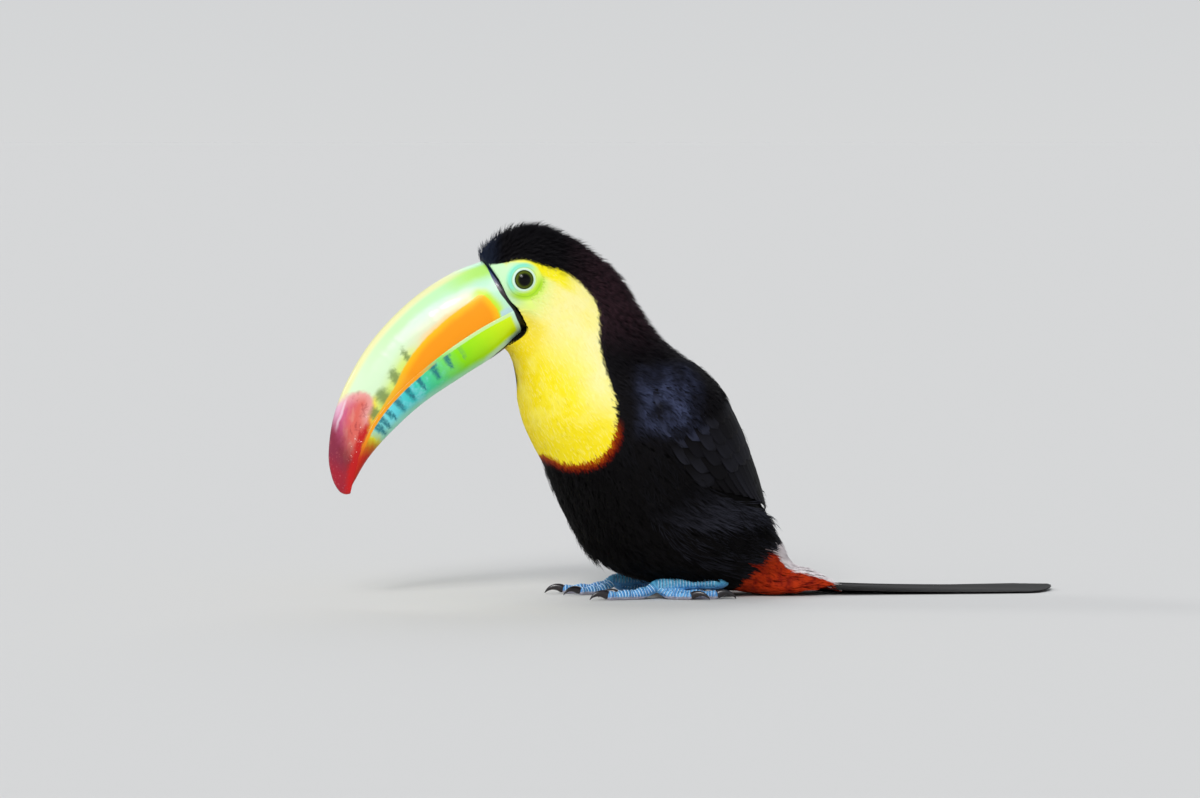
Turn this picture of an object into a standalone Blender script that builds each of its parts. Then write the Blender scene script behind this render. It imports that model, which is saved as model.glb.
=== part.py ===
"""A keel-billed toucan at life size, standing still on a level floor with its tail laid along it.

Run with: blender --background --python part.py

The bird faces -Y and its left side is +X. It is symmetric about X = 0, but for the feet: the right one
stands ahead of the left. Side-view places are (y, z) pairs in millimetres, measured from the floor under
the bird's middle, and SHIFT_Y then brings the origin to the middle of the whole length.
The solids are the outer form of the plumage, with a gap of GAP between neighbours.
"""

import math

import bmesh
import bpy
import numpy as np
from mathutils import Matrix, Vector

MM = 0.001
GAP = 0.35
SHIFT_Y = -49.4
SIDES = (("left", 1), ("right", -1))

# Ribs of the plumage from the bill's root to the tail's: the lower end and the upper end in the side view,
# half the width, where along the rib it is widest, and how round it is (1 an ellipse, less is squarer).
BODY_RIBS = {
    "bill root": ((-51.5, 122.2), (-63.5, 170.5), 17.2, 0.52, 0.9),
    "forehead": ((-47.9, 119.6), (-54.5, 179.5), 19.6, 0.53, 0.88),
    "eye": ((-45.6, 115.8), (-44.0, 185.2), 21.6, 0.52, 0.89),
    "crown": ((-44.2, 111.5), (-31.0, 186.6), 23.4, 0.5, 0.91),
    "hind crown": ((-43.2, 107.0), (-15.5, 180.6), 25.2, 0.48, 0.94),
    "nape": ((-42.2, 101.0), (-0.5, 170.2), 27.2, 0.46, 0.97),
    "hind neck": ((-40.8, 94.0), (12.0, 157.0), 29.8, 0.45, 0.99),
    "neck root": ((-38.6, 86.5), (21.5, 141.5), 33.2, 0.45, 0.99),
    "shoulder": ((-34.2, 77.0), (32.5, 126.8), 37.4, 0.46, 0.97),
    "breast": ((-28.2, 66.0), (47.5, 114.8), 40.4, 0.47, 0.97),
    "back": ((-22.4, 52.0), (60.0, 100.8), 41.0, 0.48, 0.97),
    "belly": ((-15.8, 37.5), (69.8, 82.0), 39.8, 0.49, 0.97),
    "flank": ((-7.5, 25.0), (76.6, 65.0), 37.0, 0.49, 0.97),
    "thigh": ((5.5, 13.8), (81.4, 50.0), 33.6, 0.49, 0.95),
    "rump": ((26.0, 6.8), (86.2, 37.0), 29.0, 0.48, 0.92),
    "vent": ((50.0, 3.4), (92.0, 25.6), 23.4, 0.48, 0.9),
    "tail root": ((67.5, 2.2), (98.2, 15.6), 18.4, 0.48, 0.85),
}
HEAD_END, NECK_END = 5.4, 7.9  # where head and neck end, counted in ribs

# The tail lies on the floor behind: rib ends as above, half the width and the level of the widest point.
TAIL_RIBS = {
    "root": ((67.9, 1.8), (98.6, 15.2), 18.0, 0.48, 0.85),
    "coverts": ((84.0, -0.2), (106.5, 12.4), 18.4, 0.40, 0.72),
    "quills": ((104.0, -0.3), (117.0, 9.4), 18.8, 0.36, 0.62),
    "waist": ((132.0, -0.3), (137.0, 6.6), 19.8, 0.34, 0.56),
    "spread": ((172.0, -0.3), (173.6, 4.8), 22.4, 0.32, 0.52),
    "fan": ((206.0, -0.3), (206.9, 3.6), 23.6, 0.32, 0.52),
    "corner": ((224.0, -0.2), (224.5, 2.8), 20.4, 0.32, 0.55),
    "tip": ((235.0, 0.2), (235.2, 1.8), 8.5, 0.4, 0.6),
}

# The bill's three long edges in the side view, from its root to its tip.
CULMEN = ((-59.9, 168.2), (-76.0, 161.9), (-95.6, 149.0), (-114.4, 130.0), (-127.2, 109.8), (-134.2, 91.2),
          (-136.4, 73.0), (-133.2, 58.8), (-127.2, 52.3))
TOMIUM = ((-44.9, 144.2), (-63.2, 134.4), (-82.0, 121.6), (-99.6, 106.6), (-112.4, 92.0), (-120.2, 77.6),
          (-124.2, 63.4), (-126.2, 54.4))
GONYS = ((-37.9, 134.3), (-50.8, 122.8), (-69.0, 111.3), (-89.0, 98.2), (-105.4, 83.8), (-117.2, 70.6),
         (-124.6, 58.8))
LOWER_TIP = 0.955  # the share of the tomium that the lower mandible reaches
BILL_WIDTH = (16.2, 15.4, 13.8, 11.8, 9.6, 7.4, 5.2, 2.7)  # half widths at the tomium, root to tip
KEEL = (2.1, 1.42)  # how the upper mandible narrows to its ridge: a lower second number is sharper
CHIN_ROUND = (2.3, 2.2)

EYE = (-42.3, 159.5)
EYE_RADIUS = 6.5
EYE_PROUD = 1.75  # how far the eyeball stands out of the face

# The wing, as it lies on the trunk: stations along it count in ribs, edges in degrees from the belly's
# middle line (0) round to the back's (180), and the thickness is at the middle of its width.
WING_STATIONS = (8.2, 8.7, 9.4, 10.2, 11.0, 11.8, 12.5, 13.1, 13.55)
WING_LOW_EDGE = (132, 116, 106, 103, 105, 112, 124, 142, 163)
WING_HIGH_EDGE = (146, 162, 170, 173, 174, 175, 176, 176, 174)
WING_THICK = (1.2, 3.0, 3.8, 4.0, 3.7, 3.2, 2.7, 2.0, 1.0)
WING_EDGE_THICK = 0.7

# Each foot: where its toes meet, then every toe's length, heading in degrees outwards from straight ahead,
# and thickness. Toes 2 and 3 point forwards and toes 1 and 4 backwards.
FOOT_PLACE = {"left": (17.5, 25.5), "right": (17.5, 10.5)}
TOES = {1: (17.0, 152.0, 2.3), 2: (19.0, -20.0, 2.4), 3: (24.5, 6.0, 2.7), 4: (29.0, 166.0, 2.6)}
ANKLE_HEIGHT, SHANK_RADIUS = 6.4, 3.3
SHANK_LENGTH = 33.0
CLAW_LENGTH, CLAW_DROP = 10.5, 62.0  # along its curve, and the angle that it turns through

BLACK, YELLOW = (0.012, 0.011, 0.013), (0.93, 0.72, 0.03)
BILL_GREEN, LEAF_GREEN = (0.62, 0.86, 0.42), (0.36, 0.62, 0.03)
BLUE, CLAW_BLACK, EYE_BROWN = (0.10, 0.33, 0.62), (0.015, 0.013, 0.012), (0.02, 0.025, 0.008)


def clear_scene():
    for thing in list(bpy.data.objects):
        bpy.data.objects.remove(thing)


def finish(name, colour, roughness):
    """A material of one colour."""
    made = bpy.data.materials.new(name)
    made.use_nodes = True
    shader = made.node_tree.nodes["Principled BSDF"]
    shader.inputs["Base Color"].default_value = (*colour, 1)
    shader.inputs["Roughness"].default_value = roughness
    return made


def smooth_between(rows, at):
    """Values between rows of numbers, on a smooth curve through them. at counts in rows."""
    rows, at = np.asarray(rows, float), np.atleast_1d(np.asarray(at, float))
    slopes = np.gradient(rows, axis=0)
    first = np.clip(np.floor(at).astype(int), 0, len(rows) - 2)
    t = (at - first).reshape(-1, *[1] * (rows.ndim - 1))
    a, b, da, db = rows[first], rows[first + 1], slopes[first], slopes[first + 1]
    return a + t * da + t**2 * (3 * (b - a) - 2 * da - db) + t**3 * (2 * (a - b) + da + db)


def along_curve(points, shares):
    """Places on the smooth curve through points, at shares of its length."""
    fine = smooth_between(points, np.linspace(0, len(points) - 1, 400))
    length = np.concatenate([[0], np.cumsum(np.linalg.norm(np.diff(fine, axis=0), axis=1))])
    return np.stack([np.interp(np.asarray(shares) * length[-1], length, axis) for axis in fine.T], axis=1)


def rib_points(ribs, at, angles):
    """Points of the form that the ribs carry, one row for each place along it. Angle 0 is the lower end."""
    rows = [(*low, *top, half, level, round_) for low, top, half, level, round_ in ribs.values()]
    low_y, low_z, top_y, top_z, half, level, round_ = smooth_between(rows, at).T[:, :, None]
    up, out = -np.cos(angles), np.sin(angles)
    reach = np.where(up < 0, level, 1 - level) * np.sign(up) * np.abs(up) ** round_ + level
    across = half * np.sign(out) * np.abs(out) ** round_
    return np.stack([across, low_y + reach * (top_y - low_y), low_z + reach * (top_z - low_z)], axis=-1)


def round_the_section(count):
    return np.arange(count) * 2 * math.pi / count


def new_object(name, bm, material):
    """The object of a bmesh in millimetres. Its faces are made to point outwards."""
    bmesh.ops.recalc_face_normals(bm, faces=bm.faces)
    if bm.calc_volume(signed=True) < 0:
        bmesh.ops.reverse_faces(bm, faces=bm.faces)
    bmesh.ops.transform(bm, matrix=Matrix.Scale(MM, 4), verts=bm.verts)
    mesh = bpy.data.meshes.new(name)
    bm.to_mesh(mesh)
    bm.free()
    mesh.materials.append(material)
    mesh.shade_smooth()
    mesh.set_sharp_from_angle(angle=math.radians(40))
    made = bpy.data.objects.new(name, mesh)
    bpy.context.scene.collection.objects.link(made)
    return made


def lofted(name, rings, material):
    """A closed solid through rings of points, with a flat cap on each end ring."""
    bm = bmesh.new()
    rows = [[bm.verts.new(point) for point in ring] for ring in rings]
    for first, second in zip(rows, rows[1:]):
        for i in range(len(first)):
            j = (i + 1) % len(first)
            bm.faces.new((first[i], first[j], second[j], second[i]))
    bm.faces.new(rows[0])
    bm.faces.new(rows[-1])
    return new_object(name, bm, material)


def hide_helper(thing):
    thing.hide_render = True
    thing.display_type = "WIRE"
    return thing


def boolean(thing, other, operation):
    """Adds a Boolean with another object, which becomes a helper."""
    modifier = thing.modifiers.new(f"{operation.lower()} {other.name}", "BOOLEAN")
    modifier.operation = operation
    modifier.object = hide_helper(other)
    return thing


def body_length(name, start, end, rings, around, material):
    """One length of the plumage between two places counted in ribs, with half a gap left at each cut."""
    at = np.linspace(start, end, rings)
    made = rib_points(BODY_RIBS, at, round_the_section(around))
    for ring, inwards in ((0, 1), (-1, -2)):
        middle = made[ring].mean(axis=0)
        step = made[1 if ring == 0 else -2].mean(axis=0) - middle
        made[ring] += step / np.linalg.norm(step) * GAP / 2
    return lofted(name, made, material)


def bill_front(material):
    """All that lies ahead of the bill's root line and above its lower edge, as a block that cuts the head."""
    brow, mouth = np.array(CULMEN[0]), np.array(TOMIUM[0])
    above = brow + (brow - mouth) * 0.9
    chin = along_curve(GONYS, (0, 0.06, 0.12, 0.2, 0.3)) + (0.3 * GAP, -GAP)
    root = np.array([above, mouth, GONYS[0]]) + (GAP, 0)
    outline = [*root, *chin, (-95.0, 107.0), (-95.0, 200.0)]
    half_width = 40.0
    sides = [[(x, y, z) for y, z in outline] for x in (-half_width, half_width)]
    return lofted("bill_front", sides, material)


def eyeball(name, side, radius, material):
    bm = bmesh.new()
    face = rib_points(BODY_RIBS, [2.2], np.radians([112]))[0, 0, 0]
    centre = (side * (face + EYE_PROUD - EYE_RADIUS), *EYE)
    turn = Matrix.Rotation(math.pi / 2, 4, "Y")
    bmesh.ops.create_uvsphere(bm, u_segments=16, v_segments=9, radius=radius, matrix=Matrix.Translation(centre) @ turn)
    return new_object(name, bm, material)


def make_head(materials):
    head = body_length("head", 0, HEAD_END, 13, 28, materials["yellow"])
    boolean(head, bill_front(materials["yellow"]), "DIFFERENCE")
    for side_name, side in SIDES:
        socket = eyeball(f"socket_{side_name}", side, EYE_RADIUS + GAP, materials["yellow"])
        boolean(head, socket, "DIFFERENCE")
        eyeball(f"eye_{side_name}", side, EYE_RADIUS, materials["eye"])


def mandible(name, upper_edge, lower_edge, widths, profile, material):
    """Half the bill, between two edges given as rows of side-view points. profile(h) is the half width's share
    at height h, from 0 at the tomium to 1 at the far edge."""
    heights = np.concatenate([np.linspace(0, 1, 8) ** 0.9])
    share = profile(heights)
    rings = []
    for near, far, half in zip(upper_edge, lower_edge, widths):
        side = [(half * s, *(near + (far - near) * h)) for s, h in zip(share, heights)]
        other = [(-x, y, z) for x, y, z in side[-2::-1]]
        rings.append(side + other)
    return lofted(name, rings, material)


def make_bill(materials):
    """Both mandibles. They meet along the tomium, with a gap between."""
    shares = np.linspace(0, 1, 30) ** 0.94
    tomium, culmen = along_curve(TOMIUM, shares), along_curve(CULMEN, shares)
    half = smooth_between(np.array(BILL_WIDTH)[:, None], shares * (len(BILL_WIDTH) - 1))[:, 0]
    rise, keel = KEEL
    mandible("bill_upper", tomium, culmen, half,
             lambda h: (1 - h**rise) ** (1 / keel) * (0.94 + 0.1 * np.sqrt(h) * (1 - h)), materials["bill green"])
    shares = np.linspace(0, 1, 26) ** 0.94
    tomium, gonys = along_curve(TOMIUM, shares * LOWER_TIP), along_curve(GONYS, shares)
    down = gonys - tomium
    tomium += down / np.linalg.norm(down, axis=1)[:, None] * GAP
    half = smooth_between(np.array(BILL_WIDTH)[:, None], shares * LOWER_TIP * (len(BILL_WIDTH) - 1))[:, 0]
    rise, keel = CHIN_ROUND
    mandible("bill_lower", tomium, gonys, half * 0.955,
             lambda h: (1 - h**rise) ** (1 / keel), materials["leaf green"])


def wing(name, side, material):
    """A leaf of even grid over the trunk, thickest along its middle."""
    stations, across = 15, 10
    at = np.linspace(0, len(WING_STATIONS) - 1, stations)
    ribs, low, high, thick = smooth_between(
        np.array([WING_STATIONS, WING_LOW_EDGE, WING_HIGH_EDGE, WING_THICK]).T, at).T
    share = np.linspace(0, 1, across)
    angle = np.radians(low[:, None] + (high - low)[:, None] * share)
    bulge = WING_EDGE_THICK + (thick[:, None] - WING_EDGE_THICK) * np.sin(np.pi * share) ** 0.7

    def on_trunk(ribs_at, angles):
        return np.array([rib_points(BODY_RIBS, [r], a)[0] for r, a in zip(ribs_at, angles)])

    step = 0.01
    point = on_trunk(ribs, angle)
    along = on_trunk(ribs + step, angle) - point
    round_ = on_trunk(ribs, angle + step) - point
    normal = np.cross(round_, along)
    normal /= np.linalg.norm(normal, axis=-1, keepdims=True)
    normal *= np.sign((normal * (point - point.mean(axis=(0, 1)) + [40, 0, 0])).sum())
    inner, outer = point + normal * GAP, point + normal * (GAP + bulge[..., None])
    rings = [np.concatenate([out, inn[::-1]]) * [side, 1, 1] for out, inn in zip(outer, inner)]
    return lofted(name, rings, material)


def make_tail(material):
    at = np.concatenate([np.linspace(0, 6, 13), [6.4, 6.75, 7]])
    rings = rib_points(TAIL_RIBS, at, round_the_section(20))
    rings[..., 2] = np.maximum(rings[..., 2], 0)  # laid flat on the floor
    lofted("tail", rings, material)


def tube(name, path, radii, material, around=10, squash=1.0):
    """A closed tube along a path. squash is its height as a share of its width."""
    path = [Vector(p) for p in path]
    rings = []
    for i, (place, radius) in enumerate(zip(path, map(float, radii))):
        heading = (path[min(i + 1, len(path) - 1)] - path[max(i - 1, 0)]).normalized()
        out = heading.cross(Vector((0, 0, 1))).normalized()
        up = out.cross(heading)
        rings.append([place + radius * (math.cos(a) * out + squash * math.sin(a) * up)
                      for a in round_the_section(around)])
    return lofted(name, rings, material)


def toe_path(root, length, heading, radius, side):
    """The toe's middle line and thickness: from the ankle down to the floor, and along it in low knuckles."""
    ahead = Vector((side * math.sin(math.radians(heading)), -math.cos(math.radians(heading)), 0))
    shares = np.linspace(0, 1, 9)
    drop = (root.z - radius) * np.clip(1 - shares / 0.45, 0, 1) ** 1.6
    radii = radius * (1.04 - 0.26 * shares + 0.07 * np.cos(shares * 6 * math.pi))
    path = [root.xy.to_3d() + ahead * length * s + Vector((0, 0, 0.88 * r + d))
            for s, d, r in zip(shares, drop, radii)]
    path.append(path[-1] + ahead * 0.6)
    return path, np.append(radii, radii[-1]), ahead


def claw(name, tip, ahead, radius, material):
    """A horn hook that leaves the toe's end level and turns down to just above the floor."""
    steps = 7
    turn = math.radians(CLAW_DROP)
    thick = radius * 0.84
    start = tip + ahead * GAP + Vector((0, 0, 0.5))
    path, radii = [start, start + ahead * 0.9], [thick, thick]
    for step in range(1, steps):
        pitch = 0.4 - turn * (step - 0.5) / (steps - 1) * 1.35
        path.append(path[-1] + (ahead * math.cos(pitch) + Vector((0, 0, math.sin(pitch)))) * CLAW_LENGTH / steps)
        radii.append(thick * (1 - step / steps) ** 0.8)
    lowest = min(p.z - r for p, r in zip(path, radii))
    path = [p - Vector((0, 0, (lowest - 0.15) * max(0, i - 1) / (steps - 1))) for i, p in enumerate(path)]
    tube(name, path, radii, material, around=8, squash=1.15)


def leg_solid(name, side_name, side, spare, material):
    """The shank and four toes as one solid. spare makes it that much thicker, to cut its own room."""
    place_x, place_y = FOOT_PLACE[side_name]
    root = Vector((side * place_x, place_y, ANKLE_HEIGHT))
    heel = root + Vector((side * 1.5, SHANK_LENGTH, 1.6))
    shank_path = [root.lerp(heel, share) for share in (-0.06, 0.1, 0.35, 0.65, 0.88, 1.0, 1.06)]
    shank_radii = [r * SHANK_RADIUS + spare for r in (0.8, 1.08, 0.94, 0.96, 1.14, 1.02, 0.6)]
    leg = tube(name, shank_path, shank_radii, material, around=12)
    for number, (length, heading, radius) in TOES.items():
        path, radii, _ = toe_path(root, length, heading, radius, side)
        toe = tube(f"{name}_toe_{number}", path, radii + spare, material)
        boolean(leg, toe, "UNION")
    if not spare:
        boolean(leg, floor_block(f"{name}_floor", material), "DIFFERENCE")
    return leg


def floor_block(name, material):
    bm = bmesh.new()
    deep, wide = 20.0, 400.0
    bmesh.ops.create_cube(bm, size=1, matrix=Matrix.Translation((0, 0, -deep / 2)) @ Matrix.Diagonal((wide, wide, deep, 1)))
    return new_object(name, bm, material)


def make_legs(trunk, materials):
    for side_name, side in SIDES:
        leg_solid(f"leg_{side_name}", side_name, side, 0, materials["blue"])
        boolean(trunk, leg_solid(f"leg_room_{side_name}", side_name, side, GAP, materials["blue"]), "DIFFERENCE")
        place_x, place_y = FOOT_PLACE[side_name]
        root = Vector((side * place_x, place_y, ANKLE_HEIGHT))
        for number, (length, heading, radius) in TOES.items():
            path, radii, ahead = toe_path(root, length, heading, radius, side)
            claw(f"claw_{side_name}_{number}", path[-1], ahead, radii[-1], materials["claw"])


def place_origin():
    """Moves the whole bird so that the origin is under the middle of its length."""
    bird = bpy.data.objects.new("bird", None)
    bpy.context.scene.collection.objects.link(bird)
    bird.location = (0, SHIFT_Y * MM, 0)
    for thing in list(bpy.data.objects):
        if thing != bird:
            thing.parent = bird


def main():
    clear_scene()
    materials = {
        "black": finish("black plumage", BLACK, 0.6),
        "yellow": finish("yellow plumage", YELLOW, 0.7),
        "bill green": finish("bill green", BILL_GREEN, 0.3),
        "leaf green": finish("leaf green", LEAF_GREEN, 0.3),
        "blue": finish("blue leg skin", BLUE, 0.5),
        "claw": finish("claw horn", CLAW_BLACK, 0.3),
        "eye": finish("eye", EYE_BROWN, 0.05),
    }
    make_head(materials)
    make_bill(materials)
    body_length("neck", HEAD_END, NECK_END, 6, 28, materials["yellow"])
    trunk = body_length("trunk", NECK_END, len(BODY_RIBS) - 1, 17, 32, materials["black"])
    make_legs(trunk, materials)
    for side_name, side in SIDES:
        wing(f"wing_{side_name}", side, materials["black"])
    make_tail(materials["black"])
    place_origin()


main()
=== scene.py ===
"""Looks of the keel-billed toucan: skin, plumage, bill, eyes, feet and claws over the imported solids.

Side-view places are (y, z) pairs in millimetres, measured from the floor under the bird's middle, as the
solids' own source measures them, and SHIFT_Y brings them to the row frame. A place on the body is counted
in ribs from the bill's root (0) to the tail's (16) and beyond, and in radians round from the belly's middle
line (0) over the left side to the back (pi). Heights are millimetres above the solids' surface.
Markings are drawn on an upright plane turned by VIEW_TURN from the bird's own side view.
"""

import math

import bmesh
import bpy
import numpy as np
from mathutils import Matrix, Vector


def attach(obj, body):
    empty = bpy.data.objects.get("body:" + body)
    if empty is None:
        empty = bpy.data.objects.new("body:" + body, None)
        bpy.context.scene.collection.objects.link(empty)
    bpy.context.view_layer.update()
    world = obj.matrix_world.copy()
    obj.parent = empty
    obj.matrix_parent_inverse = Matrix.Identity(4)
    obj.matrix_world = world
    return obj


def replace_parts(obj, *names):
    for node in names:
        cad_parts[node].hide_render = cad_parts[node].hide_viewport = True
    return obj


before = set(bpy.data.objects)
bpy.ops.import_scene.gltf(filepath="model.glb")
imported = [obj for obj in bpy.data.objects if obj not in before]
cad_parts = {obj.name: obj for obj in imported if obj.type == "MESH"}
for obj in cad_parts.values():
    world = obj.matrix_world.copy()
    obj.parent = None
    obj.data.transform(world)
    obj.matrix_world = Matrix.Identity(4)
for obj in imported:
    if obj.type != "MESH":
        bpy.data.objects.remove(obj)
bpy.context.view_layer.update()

MM = 0.001
SHIFT_Y = -49.4
VIEW_TURN = math.radians(11)
TAU = 2 * math.pi
SIDES = (("left", 1), ("right", -1))

# Each rib: its low and top points, half its width, how high its widest place is, and how round it is.
BODY_RIBS = (
    ((-51.5, 122.2), (-63.5, 170.5), 17.2, 0.52, 0.9),  # bill root
    ((-47.9, 119.6), (-54.5, 179.5), 19.6, 0.53, 0.88),  # forehead
    ((-45.6, 115.8), (-44.0, 185.2), 21.6, 0.52, 0.89),  # eye
    ((-44.2, 111.5), (-31.0, 186.6), 23.4, 0.5, 0.91),  # crown
    ((-43.2, 107.0), (-15.5, 180.6), 25.2, 0.48, 0.94),  # hind crown
    ((-42.2, 101.0), (-0.5, 170.2), 27.2, 0.46, 0.97),  # nape
    ((-40.8, 94.0), (12.0, 157.0), 29.8, 0.45, 0.99),  # hind neck
    ((-38.6, 86.5), (21.5, 141.5), 33.2, 0.45, 0.99),  # neck root
    ((-34.2, 77.0), (32.5, 126.8), 37.4, 0.46, 0.97),  # shoulder
    ((-28.2, 66.0), (47.5, 114.8), 40.4, 0.47, 0.97),  # breast
    ((-22.4, 52.0), (60.0, 100.8), 41.0, 0.48, 0.97),  # back
    ((-15.8, 37.5), (69.8, 82.0), 39.8, 0.49, 0.97),  # belly
    ((-7.5, 25.0), (76.6, 65.0), 37.0, 0.49, 0.97),  # flank
    ((5.5, 13.8), (81.4, 50.0), 33.6, 0.49, 0.95),  # thigh
    ((26.0, 6.8), (86.2, 37.0), 29.0, 0.48, 0.92),  # rump
    ((50.0, 3.4), (92.0, 25.6), 23.4, 0.48, 0.9),  # vent
    ((67.7, 2.0), (98.4, 15.4), 18.2, 0.48, 0.85),  # tail root
    ((84.0, 0.3), (106.5, 12.4), 18.4, 0.40, 0.72),  # tail coverts
    ((104.0, 0.3), (117.0, 9.4), 18.8, 0.36, 0.62),  # quills
    ((118.0, 0.3), (127.0, 8.0), 19.2, 0.35, 0.58),
)
RIB_END = len(BODY_RIBS) - 1
LAST_RIB, LAST_TIP = 18.6, 18.9  # where the skin ends, and the furthest that a small feather's tip reaches

# How deep the skin lies under the solids, in black plumage, in yellow plumage and where the face is bare.
BLACK_COAT, YELLOW_COAT, FACE_THINNER, BARE_COAT = 3.0, 0.55, 0.25, 0.3
FLOOR_GAP = 0.15  # between the lowest feathers and the floor
BAKE_MARGIN, BAKE_PATCH = 0.02, 0.003  # of the feathers' own map, and the patch for each feather on it

CULMEN = ((-59.9, 168.2), (-76.0, 161.9), (-95.6, 149.0), (-114.4, 130.0), (-127.2, 109.8),
          (-134.4, 91.2), (-136.9, 73.0), (-135.2, 61.4), (-131.9, 54.9), (-128.8, 53.0),
          (-126.4, 53.1))
TOMIUM = ((-44.9, 144.2), (-63.2, 134.4), (-82.0, 121.6), (-99.6, 106.6), (-112.4, 92.0),
          (-120.2, 77.6), (-124.2, 63.4), (-126.2, 54.4))
GONYS = ((-37.9, 134.3), (-50.8, 122.8), (-69.0, 111.3), (-89.0, 98.2), (-105.4, 83.8), (-117.2, 70.6),
         (-125.2, 57.6))
LOWER_TIP = 0.965
BILL_WIDTH = (16.2, 15.4, 13.8, 11.8, 9.6, 7.4, 5.2, 2.7)
KEEL, CHIN_ROUND = (2.1, 1.42), (2.3, 2.2)
# Notches, in millimetres along the mouth line, and the darker bars that some of them carry on each mandible.
TOOTH_PLACES = (27, 33, 41.4, 50, 59.2, 66.5, 73.4, 80, 86, 91, 97, 103, 109, 114)
UPPER_BARS = (56.5, 67.0, 77.6, 86.4)
LOWER_BARS = (33.5, 41.8, 50.2, 59.4, 67.0, 74.6, 81.6, 86.6, 91.0)

EYE = (-42.3, 159.5)
EYE_RADIUS, EYE_PROUD = 6.5, 1.75
LID_RADIUS, ORBIT_RADIUS = 4.55, 12.5
IRIS_RADIUS, PUPIL_RADIUS = 4.5, 2.6

FOOT_PLACE = {"left": (17.5, 25.5), "right": (17.5, 10.5)}  # of each ankle
# Each toe's length, heading in degrees from straight ahead, and radius.
TOES = {1: (17.0, 152, 2.3), 2: (19.0, -20, 2.4), 3: (24.5, 6, 2.7), 4: (29.0, 166, 2.6)}
ANKLE_HEIGHT, SHANK_RADIUS, SHANK_LENGTH = 6.4, 3.3, 33.0
CLAW_LENGTH, CLAW_DROP = 10.5, 62

WING_STATIONS = (8.2, 8.7, 9.4, 10.2, 11.0, 11.8, 12.5, 13.1, 13.55)
WING_LOW_EDGE = (132, 116, 106, 103, 105, 112, 124, 142, 163)
WING_HIGH_EDGE = (146, 162, 170, 173, 174, 175, 176, 176, 174)
WING_THICK = (1.2, 3.0, 3.8, 4.0, 3.7, 3.2, 2.7, 2.0, 1.0)
WING_EDGE_THICK, WING_GAP = 0.7, 0.35
TAIL_ROOT, TAIL_LENGTH, TAIL_FEATHERS = 97, 136.5, 10

# Edges of the markings, in the marking plane.
BAND_EDGE = ((-59.0, 170.5), (-57.3, 167.3), (-55.3, 163.8), (-53.6, 160.3), (-51.0, 155.3),
             (-48.4, 151.3), (-45.4, 147.4), (-43.0, 144.4), (-41.7, 141.2), (-40.3, 138.0),
             (-39.3, 135.2), (-39.4, 133.2), (-41.2, 131.2), (-45.0, 128.2), (-50.0, 123.8),
             (-55.0, 119.5))
BAND_REAR_EDGE = ((-56.2, 169.0), (-55.0, 167.0), (-53.0, 164.0), (-51.0, 160.5), (-48.5, 155.5),
                  (-46.5, 151.5), (-44.1, 148.0), (-41.5, 145.5), (-39.5, 142.5), (-37.5, 138.5),
                  (-36.0, 134.6), (-37.0, 132.3), (-40.0, 129.8), (-45.0, 126.3), (-49.5, 122.8),
                  (-54.0, 119.0))
BIB_EDGE = ((-62.0, 167.2), (-50.0, 168.0), (-39.0, 170.0), (-27.5, 167.0), (-15.0, 162.5),
            (-5.0, 153.5), (-0.8, 146.0), (0.2, 136.0), (1.2, 123.5), (5.5, 108.5), (9.6, 95.0),
            (9.0, 82.0), (4.0, 72.5), (-6.0, 67.2), (-17.5, 66.3), (-28.5, 70.0))
ORANGE_EDGE = ((-49.5, 137.0), (-49.8, 141.5), (-52.0, 146.5), (-58.5, 152.0), (-64.0, 148.6),
               (-75.0, 140.6), (-88.0, 128.5), (-96.0, 117.5), (-100.8, 107.6), (-107.0, 97.4),
               (-112.6, 88.7), (-116.9, 80.2), (-120.2, 70.5))
TIP_EDGE = ((-138.0, 94.0), (-131.5, 96.5), (-128.0, 99.5), (-124.0, 102.2), (-118.5, 103.6),
            (-114.8, 103.2), (-112.4, 99.8), (-112.4, 96.0), (-114.2, 92.2), (-114.4, 88.0),
            (-114.6, 84.0), (-116.2, 78.5), (-118.6, 72.0), (-121.2, 64.0), (-124.4, 54.0))


# ---- shapes ----


def smooth_between(rows, at):
    """Values between rows of numbers, on a smooth curve through them. at counts in rows."""
    rows, at = np.asarray(rows, float), np.atleast_1d(np.asarray(at, float))
    slopes = np.gradient(rows, axis=0)
    first = np.clip(np.floor(at).astype(int), 0, len(rows) - 2)
    t = np.clip(at - first, 0, 1).reshape(*at.shape, *[1] * (rows.ndim - 1))
    a, b, da, db = rows[first], rows[first + 1], slopes[first], slopes[first + 1]
    return a + t * da + t**2 * (3 * (b - a) - 2 * da - db) + t**3 * (2 * (a - b) + da + db)


def along_curve(points, shares):
    """Places on the smooth curve through points, at shares of its length."""
    fine = smooth_between(points, np.linspace(0, len(points) - 1, 400))
    length = np.concatenate([[0], np.cumsum(np.linalg.norm(np.diff(fine, axis=0), axis=1))])
    return np.stack([np.interp(np.asarray(shares) * length[-1], length, axis) for axis in fine.T], axis=-1)


def ease(value, low, high):
    """0 at low, 1 at high, with a smooth turn at both ends."""
    t = np.clip((np.asarray(value, float) - low) / (high - low), 0, 1)
    return t * t * (3 - 2 * t)


def unit(vectors):
    return vectors / np.maximum(np.linalg.norm(vectors, axis=-1, keepdims=True), 1e-12)


RIB_TABLE = np.array([(*low, *top, *rest) for low, top, *rest in BODY_RIBS])


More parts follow.
